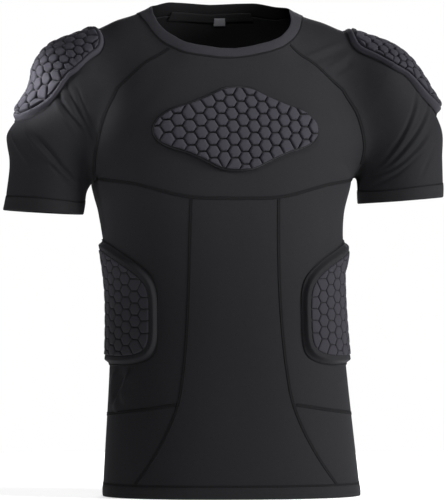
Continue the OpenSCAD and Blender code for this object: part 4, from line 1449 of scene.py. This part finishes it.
CHEST_SHAPE = with_mirror([
    (0, -1), (0.21, -0.95), (0.40, -0.76), (0.60, -0.585), (0.81, -0.46), (0.955, -0.28), (1, -0.03),
    (0.955, 0.21), (0.81, 0.45), (0.60, 0.60), (0.37, 0.78), (0.17, 0.97), (0, 1)])
BACK_SHAPE = with_mirror([
    (0, -1), (0.28, -0.98), (0.52, -0.82), (0.72, -0.48), (0.90, -0.10), (1, 0.32), (0.97, 0.66), (0.80, 0.90),
    (0.52, 0.97), (0.25, 0.98), (0, 0.98)])
RIB_SHAPE = [
    (-1.01, -0.20), (-1, -0.66), (-0.93, -0.86), (-0.76, -0.96), (-0.56, -1), (-0.36, -1), (-0.16, -1), (0.04, -1),
    (0.24, -1), (0.44, -0.99), (0.63, -0.97), (0.81, -0.91), (0.93, -0.81), (0.99, -0.60), (1.01, -0.12),
    (1, 0.34), (0.93, 0.56), (0.80, 0.71), (0.63, 0.83), (0.44, 0.91), (0.24, 0.97), (0.04, 1), (-0.16, 0.96),
    (-0.36, 0.89), (-0.57, 0.76), (-0.77, 0.60), (-0.93, 0.42), (-1, 0.20)]
SHOULDER_SHAPE = with_mirror([
    (0, 0), (0.26, 0.02), (0.50, 0.09), (0.71, 0.19), (0.86, 0.31), (0.96, 0.44), (1, 0.57), (0.97, 0.69),
    (0.87, 0.80), (0.77, 0.90), (0.62, 0.965), (0.36, 0.995), (0, 1)])


def scaled(outline: Sequence, half_w: float, half_h: float) -> tuple:
    """An outline at its real size."""
    return tuple((x * half_w, y * half_h) for x, y in outline)


def rounded(outline: Sequence, spacing: float) -> Points:
    """A closed smooth curve through an outline's corners, in even steps.

    Args:
        outline: The corners.
        spacing: Length of a step.

    Returns:
        The curve's points.
    """
    p = np.array(outline, float)
    before, after, second = np.roll(p, 1, 0), np.roll(p, -1, 0), np.roll(p, -2, 0)
    curve = np.concatenate([
        (0.5 * ((2 * p) + (after - before) * t + (2 * before - 5 * p + 4 * after - second) * t * t
                + (3 * p - before - 3 * after + second) * t ** 3))[:, None]
        for t in np.linspace(0, 1, 12, endpoint=False)], axis=1).reshape(-1, 2)
    return evened(curve, spacing)


def evened(curve: Points, spacing: float) -> Points:
    """A closed curve cut again in even steps.

    Args:
        curve: The curve's points.
        spacing: Length of a step.

    Returns:
        The new points.
    """
    loop = np.concatenate([curve, curve[:1]])
    run = run_of(loop)
    count = max(24, round(run[-1] / spacing))
    return read_line(loop, run, np.linspace(0, run[-1], count, endpoint=False))


def drawn_in(curve: Points, distance: float, spacing: float) -> Points:
    """A closed anticlockwise curve drawn in by a distance, smoothed on the way.

    Args:
        curve: The curve's points.
        distance: How far.
        spacing: Length of a step.

    Returns:
        The new points.
    """
    steps = max(1, math.ceil(distance))
    for _ in range(steps):
        tangent = unit(np.roll(curve, -1, 0) - np.roll(curve, 1, 0))
        curve = curve + distance / steps * np.stack([-tangent[:, 1], tangent[:, 0]], -1)
        curve = 0.5 * curve + 0.25 * (np.roll(curve, 1, 0) + np.roll(curve, -1, 0))
        curve = evened(curve, spacing)
    return curve


def depth_in(curve: Points, p: Points) -> Points:
    """Distance from points to a closed curve, less than zero outside it.

    Args:
        curve: The curve's points.
        p: The points to measure.

    Returns:
        The distance of each one.
    """
    a, b = curve, np.roll(curve, -1, 0)
    rel, axis = p[:, None] - a[None], (b - a)[None]
    t = np.clip((rel * axis).sum(-1) / (axis * axis).sum(-1), 0, 1)
    gap = np.linalg.norm(rel - t[..., None] * axis, axis=-1).min(1)
    to_a, to_b = a[None] - p[:, None], b[None] - p[:, None]
    turn = np.arctan2(to_a[..., 0] * to_b[..., 1] - to_a[..., 1] * to_b[..., 0], (to_a * to_b).sum(-1)).sum(1)
    return np.where(np.abs(turn) > math.pi, gap, -gap)


@dataclass
class Pads:
    """The six foam pads, moulded in hexagonal cells under a bonded knit.

    The halves are half of a pad's width and height. rib_pad_front and rib_pad_back are how far a rib pad reaches from
    the side line.
    """

    pattern: Pattern
    cover: bpy.types.Material
    rib_cover: bpy.types.Material
    trim: Trim
    chest_pad_z: float = 517
    back_pad_z: float = 545
    rib_pad_z: float = 275
    chest_pad_half: tuple = (121, 61)
    back_pad_half: tuple = (95, 75)
    rib_pad_front: float = 118
    rib_pad_back: float = 100
    rib_pad_half_h: float = 90
    pad_start: float = 16
    shoulder_pad_l: float = 192
    shoulder_pad_w: float = 154
    flange_w: float = 3.5
    edge_step: float = 3.6

    def chest_site(self, s: Points) -> Points:
        """Lays the chest pad's pattern on the chest."""
        return self.pattern.skin.on_front(s[..., 0], self.chest_pad_z + s[..., 1])

    def back_site(self, s: Points) -> Points:
        """Lays the back pad's pattern between the shoulder blades."""
        return self.pattern.skin.on_back(-s[..., 0], self.back_pad_z + s[..., 1])

    def rib_site(self, s: Points) -> Points:
        """Lays a rib pad's pattern round the left side.

        Args:
            s: Places on the flat pattern, in mm.

        Returns:
            The same places on the skin.
        """
        skin = self.pattern.skin
        core = 0.177 * skin.waist_w
        a = s[..., 0] / (skin.waist_w / 2 - core)
        return skin.cast(vectors(core, 0, self.rib_pad_z + s[..., 1]), vectors(np.cos(a), np.sin(a), 0 * a))

    def shoulder_site(self, s: Points) -> Points:
        """Lays a shoulder pad's pattern over the left shoulder.

        Args:
            s: Places on the flat pattern, in mm, across and up the arm.

        Returns:
            The same places on the skin.
        """
        skin = self.pattern.skin
        p = self.pattern.outer_line(along(self.pattern.outer_table, self.pad_start + self.shoulder_pad_l - s[..., 1]))
        n = skin.normal_at(p)
        level = unit(n * np.array([1, 0, 1.0]))
        middle = p - level * skin.shoulder_r * 0.93
        a = (s[..., 0] / skin.shoulder_r)[..., None]
        return skin.cast(middle, np.cos(a) * level + np.sin(a) * np.array([0, 1.0, 0]))

    @staticmethod
    def seeds(shape: PadShape, field_line: Points) -> Points:
        """The middles of a pad's cells, without those too near its rim.

        Args:
            shape: The pad.
            field_line: The edge of the field of cells.

        Returns:
            The middles, one row each.
        """
        p = shape.pitch
        reach = int(np.abs(field_line).max() * 1.5 / p) + 3
        i, j = np.meshgrid(np.arange(-reach, reach + 1), np.arange(-reach, reach + 1))
        x = i * p * math.sqrt(3) / 2
        y = (j + 0.5 * np.mod(i, 2)) * p
        pts = np.stack([x - y * math.tan(math.radians(shape.lean)), y], -1)
        middle = (field_line.max(0) + field_line.min(0)) / 2
        pts = pts.reshape(-1, 2) + middle + np.array(shape.shift)
        # Cells whose middle lies a little outside the field still reach into it.
        pts = pts[depth_in(field_line, pts) > -0.62 * p]
        whole = p * p * math.sqrt(3) / 2
        kept = []
        for seed in pts:
            away = np.linalg.norm(pts - seed, axis=1)
            corners = np.array(Pads.cell(field_line, seed, pts[np.argsort(away)[1:9]]))
            if len(corners) > 2:
                x, y = corners[:, 0], corners[:, 1]
                area = abs(x @ np.roll(y, -1) - y @ np.roll(x, -1)) / 2
                if area > shape.least_cell * whole:
                    kept.append(seed)
        return np.array(kept)

    @staticmethod
    def cell(field_line: Points, seed: Points, others: Points) -> list:
        """Cuts one cell out of the field, half way to each of its neighbours.

        Args:
            field_line: The edge of the field of cells.
            seed: The cell's middle.
            others: The nearest other middles.

        Returns:
            The cell's corners, in order.
        """
        bm = bmesh.new()
        bm.faces.new([bm.verts.new((x, y, 0)) for x, y in field_line])
        for other in others:
            middle, way = (seed + other) / 2, other - seed
            bmesh.ops.bisect_plane(bm, geom=bm.verts[:] + bm.edges[:] + bm.faces[:], dist=1e-4,
                                   plane_co=(*middle, 0), plane_no=(*way, 0), clear_outer=True)
        corners = []
        if bm.faces:
            face = max(bm.faces, key=lambda f: f.calc_area())
            corners = [tuple(v.co) for v in face.verts]
        bm.free()
        return corners

    def relief(self, shape: PadShape) -> bmesh.types.BMesh:
        """Models the pad flat: cells with grooves between them, crowned tops and a stepped rim.

        Args:
            shape: The pad.

        Returns:
            The mesh in the making, in mm.
        """
        outline = rounded(shape.outline, self.edge_step)
        field_line = drawn_in(outline, shape.rim[-1][0], self.edge_step)
        seeds = self.seeds(shape, field_line)
        bm = bmesh.new()
        for seed in seeds:
            away = np.linalg.norm(seeds - seed, axis=1)
            corners = self.cell(field_line, seed, seeds[np.argsort(away)[1:19]])
            if len(corners) > 2:
                bm.faces.new([bm.verts.new(c) for c in corners])
        # Cells share their corners, and their long edges are cut so that the rim can bend.
        bmesh.ops.remove_doubles(bm, verts=bm.verts, dist=1.2)
        bmesh.ops.bisect_edges(bm, edges=[e for e in bm.edges if e.calc_length() > 5], cuts=2)
        bmesh.ops.dissolve_degenerate(bm, edges=bm.edges, dist=0.01)
        bm.normal_update()
        bmesh.ops.reverse_faces(bm, faces=[f for f in bm.faces if f.normal.z < 0])
        for v in bm.verts:
            v.co.z = shape.floor
        self.rim(bm, shape)
        tops = [f for f in bm.faces if f.material_index == 0]
        bmesh.ops.inset_individual(bm, faces=tops, thickness=shape.groove, use_even_offset=False)
        rise = shape.crown - shape.floor
        bmesh.ops.inset_individual(bm, faces=tops, thickness=shape.wall, depth=0.62 * rise, use_even_offset=False)
        # The crown: smaller and smaller tops, each a little higher.
        for scale, lift in ((0.88, 0.26 * rise), (0.7, 0.08 * rise), (0.4, 0.04 * rise)):
            bmesh.ops.inset_individual(bm, faces=tops, thickness=0.0001)
            for face in tops:
                centre = face.calc_center_median()
                for v in face.verts:
                    v.co = centre + (v.co - centre) * scale
                    v.co.z += lift
        # Painted light and shade: the cell tops, and the rim where bright_rim is set, are marked for the cover's paler
        # colour, and the grooves keep the darker yarn.
        raised = bm.verts.layers.float.new("moulded")
        for v in bm.verts:
            on_rim = any(f.material_index for f in v.link_faces)
            v[raised] = float(v.co.z > (2.0 if on_rim else shape.floor + 0.5 * rise)
                              and (shape.bright_rim or not on_rim))
        return bm

    @staticmethod
    def rim(bm: bmesh.types.BMesh, shape: PadShape) -> None:
        """Extrudes the rim outwards from the field of cells and marks its faces.

        Args:
            bm: The field of cells.
            shape: The pad.
        """
        edges = [e for e in bm.edges if len(e.link_faces) == 1]
        reached = 0.0
        for out, level in shape.rim:
            # The way outwards at each point of the edge.
            ways = {}
            for e in edges:
                inner = e.link_faces[0].calc_center_median()
                a, b = e.verts
                way = Vector((b.co.y - a.co.y, a.co.x - b.co.x, 0))
                if way.dot((a.co + b.co) / 2 - inner) < 0:
                    way.negate()
                for v in e.verts:
                    ways[v] = ways.get(v, Vector()) + way.normalized()
            old = set(bm.faces)
            made = bmesh.ops.extrude_edge_only(bm, edges=edges)["geom"]
            fresh = [g for g in made if isinstance(g, bmesh.types.BMVert)]
            spots = {(round(v.co.x, 5), round(v.co.y, 5)): way for v, way in ways.items()}
            for v in fresh:
                way = spots[(round(v.co.x, 5), round(v.co.y, 5))].normalized()
                v.co += way * (out - reached)
                v.co.z = level
            edges = [g for g in made if isinstance(g, bmesh.types.BMEdge)
                     and all(v in set(fresh) for v in g.verts) and len(g.link_faces) == 1]
            reached = out
            for face in bm.faces:
                if face not in old:
                    face.material_index = 1
        bm.normal_update()

    def lay(self, shape: PadShape, site: Callable, side: Side) -> bpy.types.Object:
        """Rounds a flat relief and lays it on the skin.

        Args:
            shape: The pad.
            site: Lays its pattern on the skin.
            side: RIGHT mirrors it.

        Returns:
            The pad.
        """
        skin = self.pattern.skin
        bm = self.relief(shape)
        weave = bm.loops.layers.uv.verify()
        for face in bm.faces:
            face.material_index = 0
            for loop in face.loops:
                loop[weave].uv = (loop.vert.co.x * MM, loop.vert.co.y * MM)
        bmesh.ops.scale(bm, vec=(MM, MM, MM), verts=bm.verts)
        cover = self.rib_cover if "rib" in shape.name else self.cover
        obj = finish_mesh(bm, shape.name, cover, rounds=1)
        mesh = obj.data
        flat = world_points(obj) / MM
        feet = site(self.slid(shape, flat[:, :2]))
        swell = 1 + shape.flare * (1 - smooth(flat[:, 1:2] / 70))
        laid = (feet + skin.normal_at(feet) * flat[:, 2:] * swell) * side.mirror
        mesh.vertices.foreach_set("co", (HANG.apply(laid) * MM).ravel())
        if side is Side.RIGHT:
            mesh.flip_normals()
        mesh.update()
        return obj

    @staticmethod
    def slid(shape: PadShape, s: Points) -> Points:
        """The pad's pattern moved across its site, by a further amount at its foot.

        Args:
            shape: The pad.
            s: Places on its flat pattern.

        Returns:
            The same places, moved.
        """
        return np.stack([s[:, 0] + shape.slide + shape.foot_slide * (1 - smooth(s[:, 1] / 120)), s[:, 1]], -1)

    def stitching(self, shape: PadShape, site: Callable, node: str, side: Side) -> None:
        """Sews the pad's flange down.

        Args:
            shape: The pad.
            site: Lays its pattern on the skin.
            node: The node that the stitching stands for.
            side: RIGHT mirrors it.
        """
        line = drawn_in(rounded(shape.outline, self.edge_step), self.flange_w / 2, self.edge_step)
        on = site(self.slid(shape, line))
        on = (on + self.pattern.skin.normal_at(on) * 1.2) * side.mirror
        self.trim.seam(node, [on], shape.body, 1.4, 0.5, True, 0.5, shape.name.replace("_knit", "_stitch_line"))

    def pad(self, prefix: str, site: Callable, side: Side, **facts: object) -> bpy.types.Object:
        """Makes a pad and its stitching.

        Args:
            prefix: What its nodes' names start with.
            site: Lays its pattern on the skin.
            side: RIGHT mirrors it, and a pad in the middle is LEFT.
            **facts: Fields of its shape.

        Returns:
            The pad.
        """
        shape = PadShape(name=f"{prefix}_knit", **facts)
        obj = self.lay(shape, site, side)
        dress(obj, shape.body, "pad_cover_knit", f"{prefix}_cover", f"{prefix}_cells", f"{prefix}_base")
        self.stitching(shape, site, f"{prefix}_stitching", side)
        return obj

    def build(self) -> bpy.types.Object:
        """Makes all six pads with their stitching.

        Returns:
            The chest pad.
        """
        chest = self.pad("chest_pad", self.chest_site, Side.LEFT, body="torso",
                         outline=scaled(CHEST_SHAPE, *self.chest_pad_half), rim=LOW_RIM, shift=(5.0, 10.7))
        self.pad("back_pad", self.back_site, Side.LEFT, body="torso",
                 outline=scaled(BACK_SHAPE, *self.back_pad_half), rim=LOW_RIM, lean=0)
        rib = tuple((x * (self.rib_pad_front if x < 0 else self.rib_pad_back), y * self.rib_pad_half_h)
                    for x, y in RIB_SHAPE)
        shoulder = scaled(SHOULDER_SHAPE, self.shoulder_pad_w / 2, self.shoulder_pad_l)
        for side in Side:
            self.pad(f"{side.word}_rib_pad", self.rib_site, side, body="torso", outline=rib, rim=RIB_RIM, lean=0,
                     floor=6.7, crown=8.6, groove=0.35, wall=0.5, slide=-6.0 * side.value)
            self.pad(f"{side.word}_shoulder_pad", self.shoulder_site, side, body=f"{side.word}_sleeve",
                     outline=shoulder, rim=WIDE_RIM, lean=0, pitch=17.6, floor=4.6, flare=0.6, bright_rim=True,
                     slide=-6.0 if side is Side.RIGHT else 0.0, foot_slide=-2.0 if side is Side.RIGHT else 5.0)
        return chest


# ---------------------------------------------------------------- camera, studio and image points

@dataclass
class Camera:
    """The camera at the photograph's viewing angle, aimed by the image points."""

    azimuth: float = -9.5
    distance: float = 6.0
    lens: float = 304.2
    sensor: float = 36.0
    target: tuple = (0.0, 0.0, 0.3482)
    offset_px: float = 2.5

    def build(self) -> None:
        """Creates the camera and makes it the scene's."""
        a = math.radians(self.azimuth)
        self.right = Vector((math.cos(a), math.sin(a), 0))
        self.up = Vector((0, 0, 1))
        self.back = Vector((math.sin(a), -math.cos(a), 0))
        per_px = self.distance * self.sensor / (self.lens * IMAGE_H)
        aim = Vector(self.target) - self.right * self.offset_px * per_px
        data = bpy.data.cameras.new("camera")
        data.lens, data.sensor_width, data.sensor_fit = self.lens, self.sensor, "AUTO"
        data.clip_end = 50
        obj = bpy.data.objects.new("camera", data)
        obj.location = self.origin = aim + self.back * self.distance
        obj.rotation_euler = (math.pi / 2, 0, a)
        bpy.context.collection.objects.link(obj)
        bpy.context.scene.camera = obj

    def project(self, points: Points) -> Points:
        """Where points show in the image.

        Args:
            points: Points in metres.

        Returns:
            Their x and y, in pixels.
        """
        rel = np.asarray(points, float) - np.array(self.origin)
        away = -rel @ np.array(self.back)
        scale = self.lens / self.sensor * IMAGE_H / away
        return np.stack([IMAGE_W / 2 + rel @ np.array(self.right) * scale,
                         IMAGE_H / 2 - rel @ np.array(self.up) * scale], -1)

    def ray(self, point: tuple) -> Vector:
        """The direction in which the camera sees a pixel.

        Args:
            point: The pixel.

        Returns:
            The direction, of length one.
        """
        x, y = point
        size = max(IMAGE_W, IMAGE_H)
        return (self.right * (x - IMAGE_W / 2) + self.up * (IMAGE_H / 2 - y)
                - self.back * (size * self.lens / self.sensor)).normalized()

    def place_on(self, point: tuple, carrier: bpy.types.Object) -> Points:
        """The place on a carrier that shows at an image point, or the nearest one where the ray misses.

        Args:
            point: The image point.
            carrier: What carries the piece, as finished and placed.

        Returns:
            The place in metres.
        """
        way = self.ray(point)
        tree = BVHTree.FromPolygons([v.co for v in carrier.data.vertices],
                                    [p.vertices for p in carrier.data.polygons])
        hit = tree.ray_cast(self.origin, way)[0]
        if hit is None:
            points = np.array([v.co for v in carrier.data.vertices])
            rel = points - np.array(self.origin)
            off = np.linalg.norm(np.cross(rel, np.array(way)), axis=1)
            hit = Vector(points[off.argmin()])
        return np.array(hit)


@dataclass
class Studio:
    """A pale round floor, a soft key from the right, three narrow soft-edged lamps and dim lamps above and behind."""

    floor_r: float = 1.3
    dim: float = 0.04

    def build(self) -> None:
        """Sets out the floor, the lamps and the white surround."""
        bm = bmesh.new()
        bmesh.ops.create_circle(bm, cap_ends=True, segments=96, radius=self.floor_r)
        bmesh.ops.translate(bm, vec=(0, 0, -0.0005), verts=bm.verts)
        finish_mesh(bm, "paper_floor", Floor().make())
        self.surround()
        self.lamp("key", (2.42, -1.35, 1.15), 1.0, 128)
        self.snoot("shoulder_snoot", (-1.42, -0.22, 0.9), (-0.303, -0.022, 0.581), 4.0, 950)
        self.snoot("sleeve_snoot", (-1.9, -0.9, 0.9), (-0.31, 0.0, 0.46), 13, 80)
        self.snoot("chest_snoot", (-0.6, -1.8, 1.9), (-0.02, -0.05, 0.61), 16, 135)
        self.lamp("top", (-0.3, -1.7, 2.3), 1.4, 8)
        self.lamp("back", (0.4, 2.4, 1.3), 1.2, 35)

    def surround(self) -> None:
        """Makes the surround white to look at, and dim as a light."""
        world = bpy.data.worlds.new("white_surround")
        bpy.context.scene.world = world
        bpy.context.scene.view_settings.view_transform = "Standard"
        world.use_nodes = True
        nodes = world.node_tree.nodes
        path = nodes.new("ShaderNodeLightPath")
        power = nodes.new("ShaderNodeMath")
        power.operation = "MULTIPLY_ADD"
        power.inputs[1].default_value, power.inputs[2].default_value = 1 - self.dim, self.dim
        world.node_tree.links.new(path.outputs["Is Camera Ray"], power.inputs[0])
        nodes["Background"].inputs["Color"].default_value = (1, 1, 1, 1)
        world.node_tree.links.new(power.outputs[0], nodes["Background"].inputs["Strength"])

    @staticmethod
    def hang_up(data: bpy.types.Light, place: tuple, aim: tuple) -> None:
        """Hangs a lamp where it faces its aim.

        Args:
            data: The lamp.
            place: Where it hangs, in metres.
            aim: What it faces.
        """
        obj = bpy.data.objects.new(data.name, data)
        obj.location = place
        obj.rotation_euler = (Vector(aim) - Vector(place)).to_track_quat("-Z", "Y").to_euler()
        bpy.context.collection.objects.link(obj)

    def snoot(self, name: str, place: tuple, aim: tuple, angle: float, power: float) -> None:
        """Hangs a narrow lamp with a soft edge.

        Args:
            name: The lamp's name.
            place: Where it hangs, in metres.
            aim: What it faces.
            angle: Width of its beam, in degrees.
            power: Its power in watts.
        """
        data = bpy.data.lights.new(name, "SPOT")
        data.energy, data.spot_size, data.spot_blend, data.shadow_soft_size = power, math.radians(angle), 1.0, 0.05
        self.hang_up(data, place, aim)

    def lamp(self, name: str, place: tuple, size: float, power: float) -> None:
        """Hangs a square soft box that faces the shirt.

        Args:
            name: The lamp's name.
            place: Where it hangs, in metres.
            size: Side of the box, in metres.
            power: Its power in watts.
        """
        data = bpy.data.lights.new(name, "AREA")
        data.size, data.energy = size, power
        self.hang_up(data, place, (0, 0, 0.4))


def check_points(camera: Camera, pattern: Pattern, chest_pad: bpy.types.Object, label: bpy.types.Object) -> dict:
    """How far each named thing shows from its image point.

    Args:
        camera: The camera.
        pattern: The seam lines.
        chest_pad: The chest pad.
        label: The bare label.

    Returns:
        For each point, how far off it is in x and y.
    """
    skin = pattern.skin
    solid = [o for o in bpy.data.objects if o.type == "MESH" and o.name.endswith(("_cloth", "_knit", "_band"))]
    seen = camera.project(np.concatenate([world_points(o) for o in solid]))
    waist = seen[np.abs(seen[:, 1] - IMAGE_POINTS["waist_left"][1]) < 2]
    chest = camera.project(world_points(chest_pad))

    def middle(spots: Points) -> Points:
        """The middle of what shows of a thing."""
        return (spots.max(0) + spots.min(0)) / 2

    def cuff(side: Side) -> Points:
        """The middle of a cuff in the image."""
        return middle(camera.project(world_points(bpy.data.objects[f"{side.word}_cuff_band"])))

    def in_front(z: float) -> Points:
        """Where the front's middle shows at a height."""
        return camera.project(HANG.apply(skin.round_body(np.array(0.0), z)) * MM)

    collar_z, hem_z = 624.5, 8.0
    shows = {
        "left_edge": (seen[:, 0].min(), None),
        "right_edge": (seen[:, 0].max(), None),
        "top_edge": (None, seen[:, 1].min()),
        "bottom_edge": (None, seen[:, 1].max()),
        "collar_front": in_front(collar_z),
        "size_label": camera.project(world_points(label)).mean(0),
        "chest_pad": middle(chest),
        "chest_pad_left_tip": chest[chest[:, 0].argmin()],
        "chest_pad_right_tip": chest[chest[:, 0].argmax()],
        "chest_seam_middle": in_front(float(pattern.chest_line(0))),
        "waist_left": (waist[:, 0].min(), None),
        "waist_right": (waist[:, 0].max(), None),
        "right_cuff": cuff(Side.RIGHT),
        "left_cuff": cuff(Side.LEFT),
        "hem_middle": in_front(hem_z),
    }
    return {name: [None if a is None or b is None else round(float(b) - a, 2) for a, b in zip(point, shows[name])]
            for name, point in IMAGE_POINTS.items()}


def main() -> None:
    """Builds the dressed shirt and the studio, and works out how far named points show from their image points."""
    logging.basicConfig(level=logging.INFO, format="%(name)s %(message)s")
    camera = Camera()
    camera.build()
    pattern = Pattern(Skin())
    knit, reverse, band, cover = (f.make() for f in (BODY_KNIT, SHADED_REVERSE, BAND_KNIT, PAD_KNIT))
    trim = Trim(pattern, SEAM_THREAD.make(), band, LIT_COLLAR_KNIT.make(), reverse, NECK_TAPE.make(), SATIN.make())
    Panels(pattern, knit, reverse).build()
    Sleeves(pattern, knit, reverse, band).build()
    trim.build_seams()
    trim.build_bands()
    label = trim.build_neck(camera)
    chest_pad = Pads(pattern, cover, RIB_PAD_KNIT.make(), trim).build()
    Studio().build()
    check_points(camera, pattern, chest_pad, label)


if __name__ == "__main__":
    main()
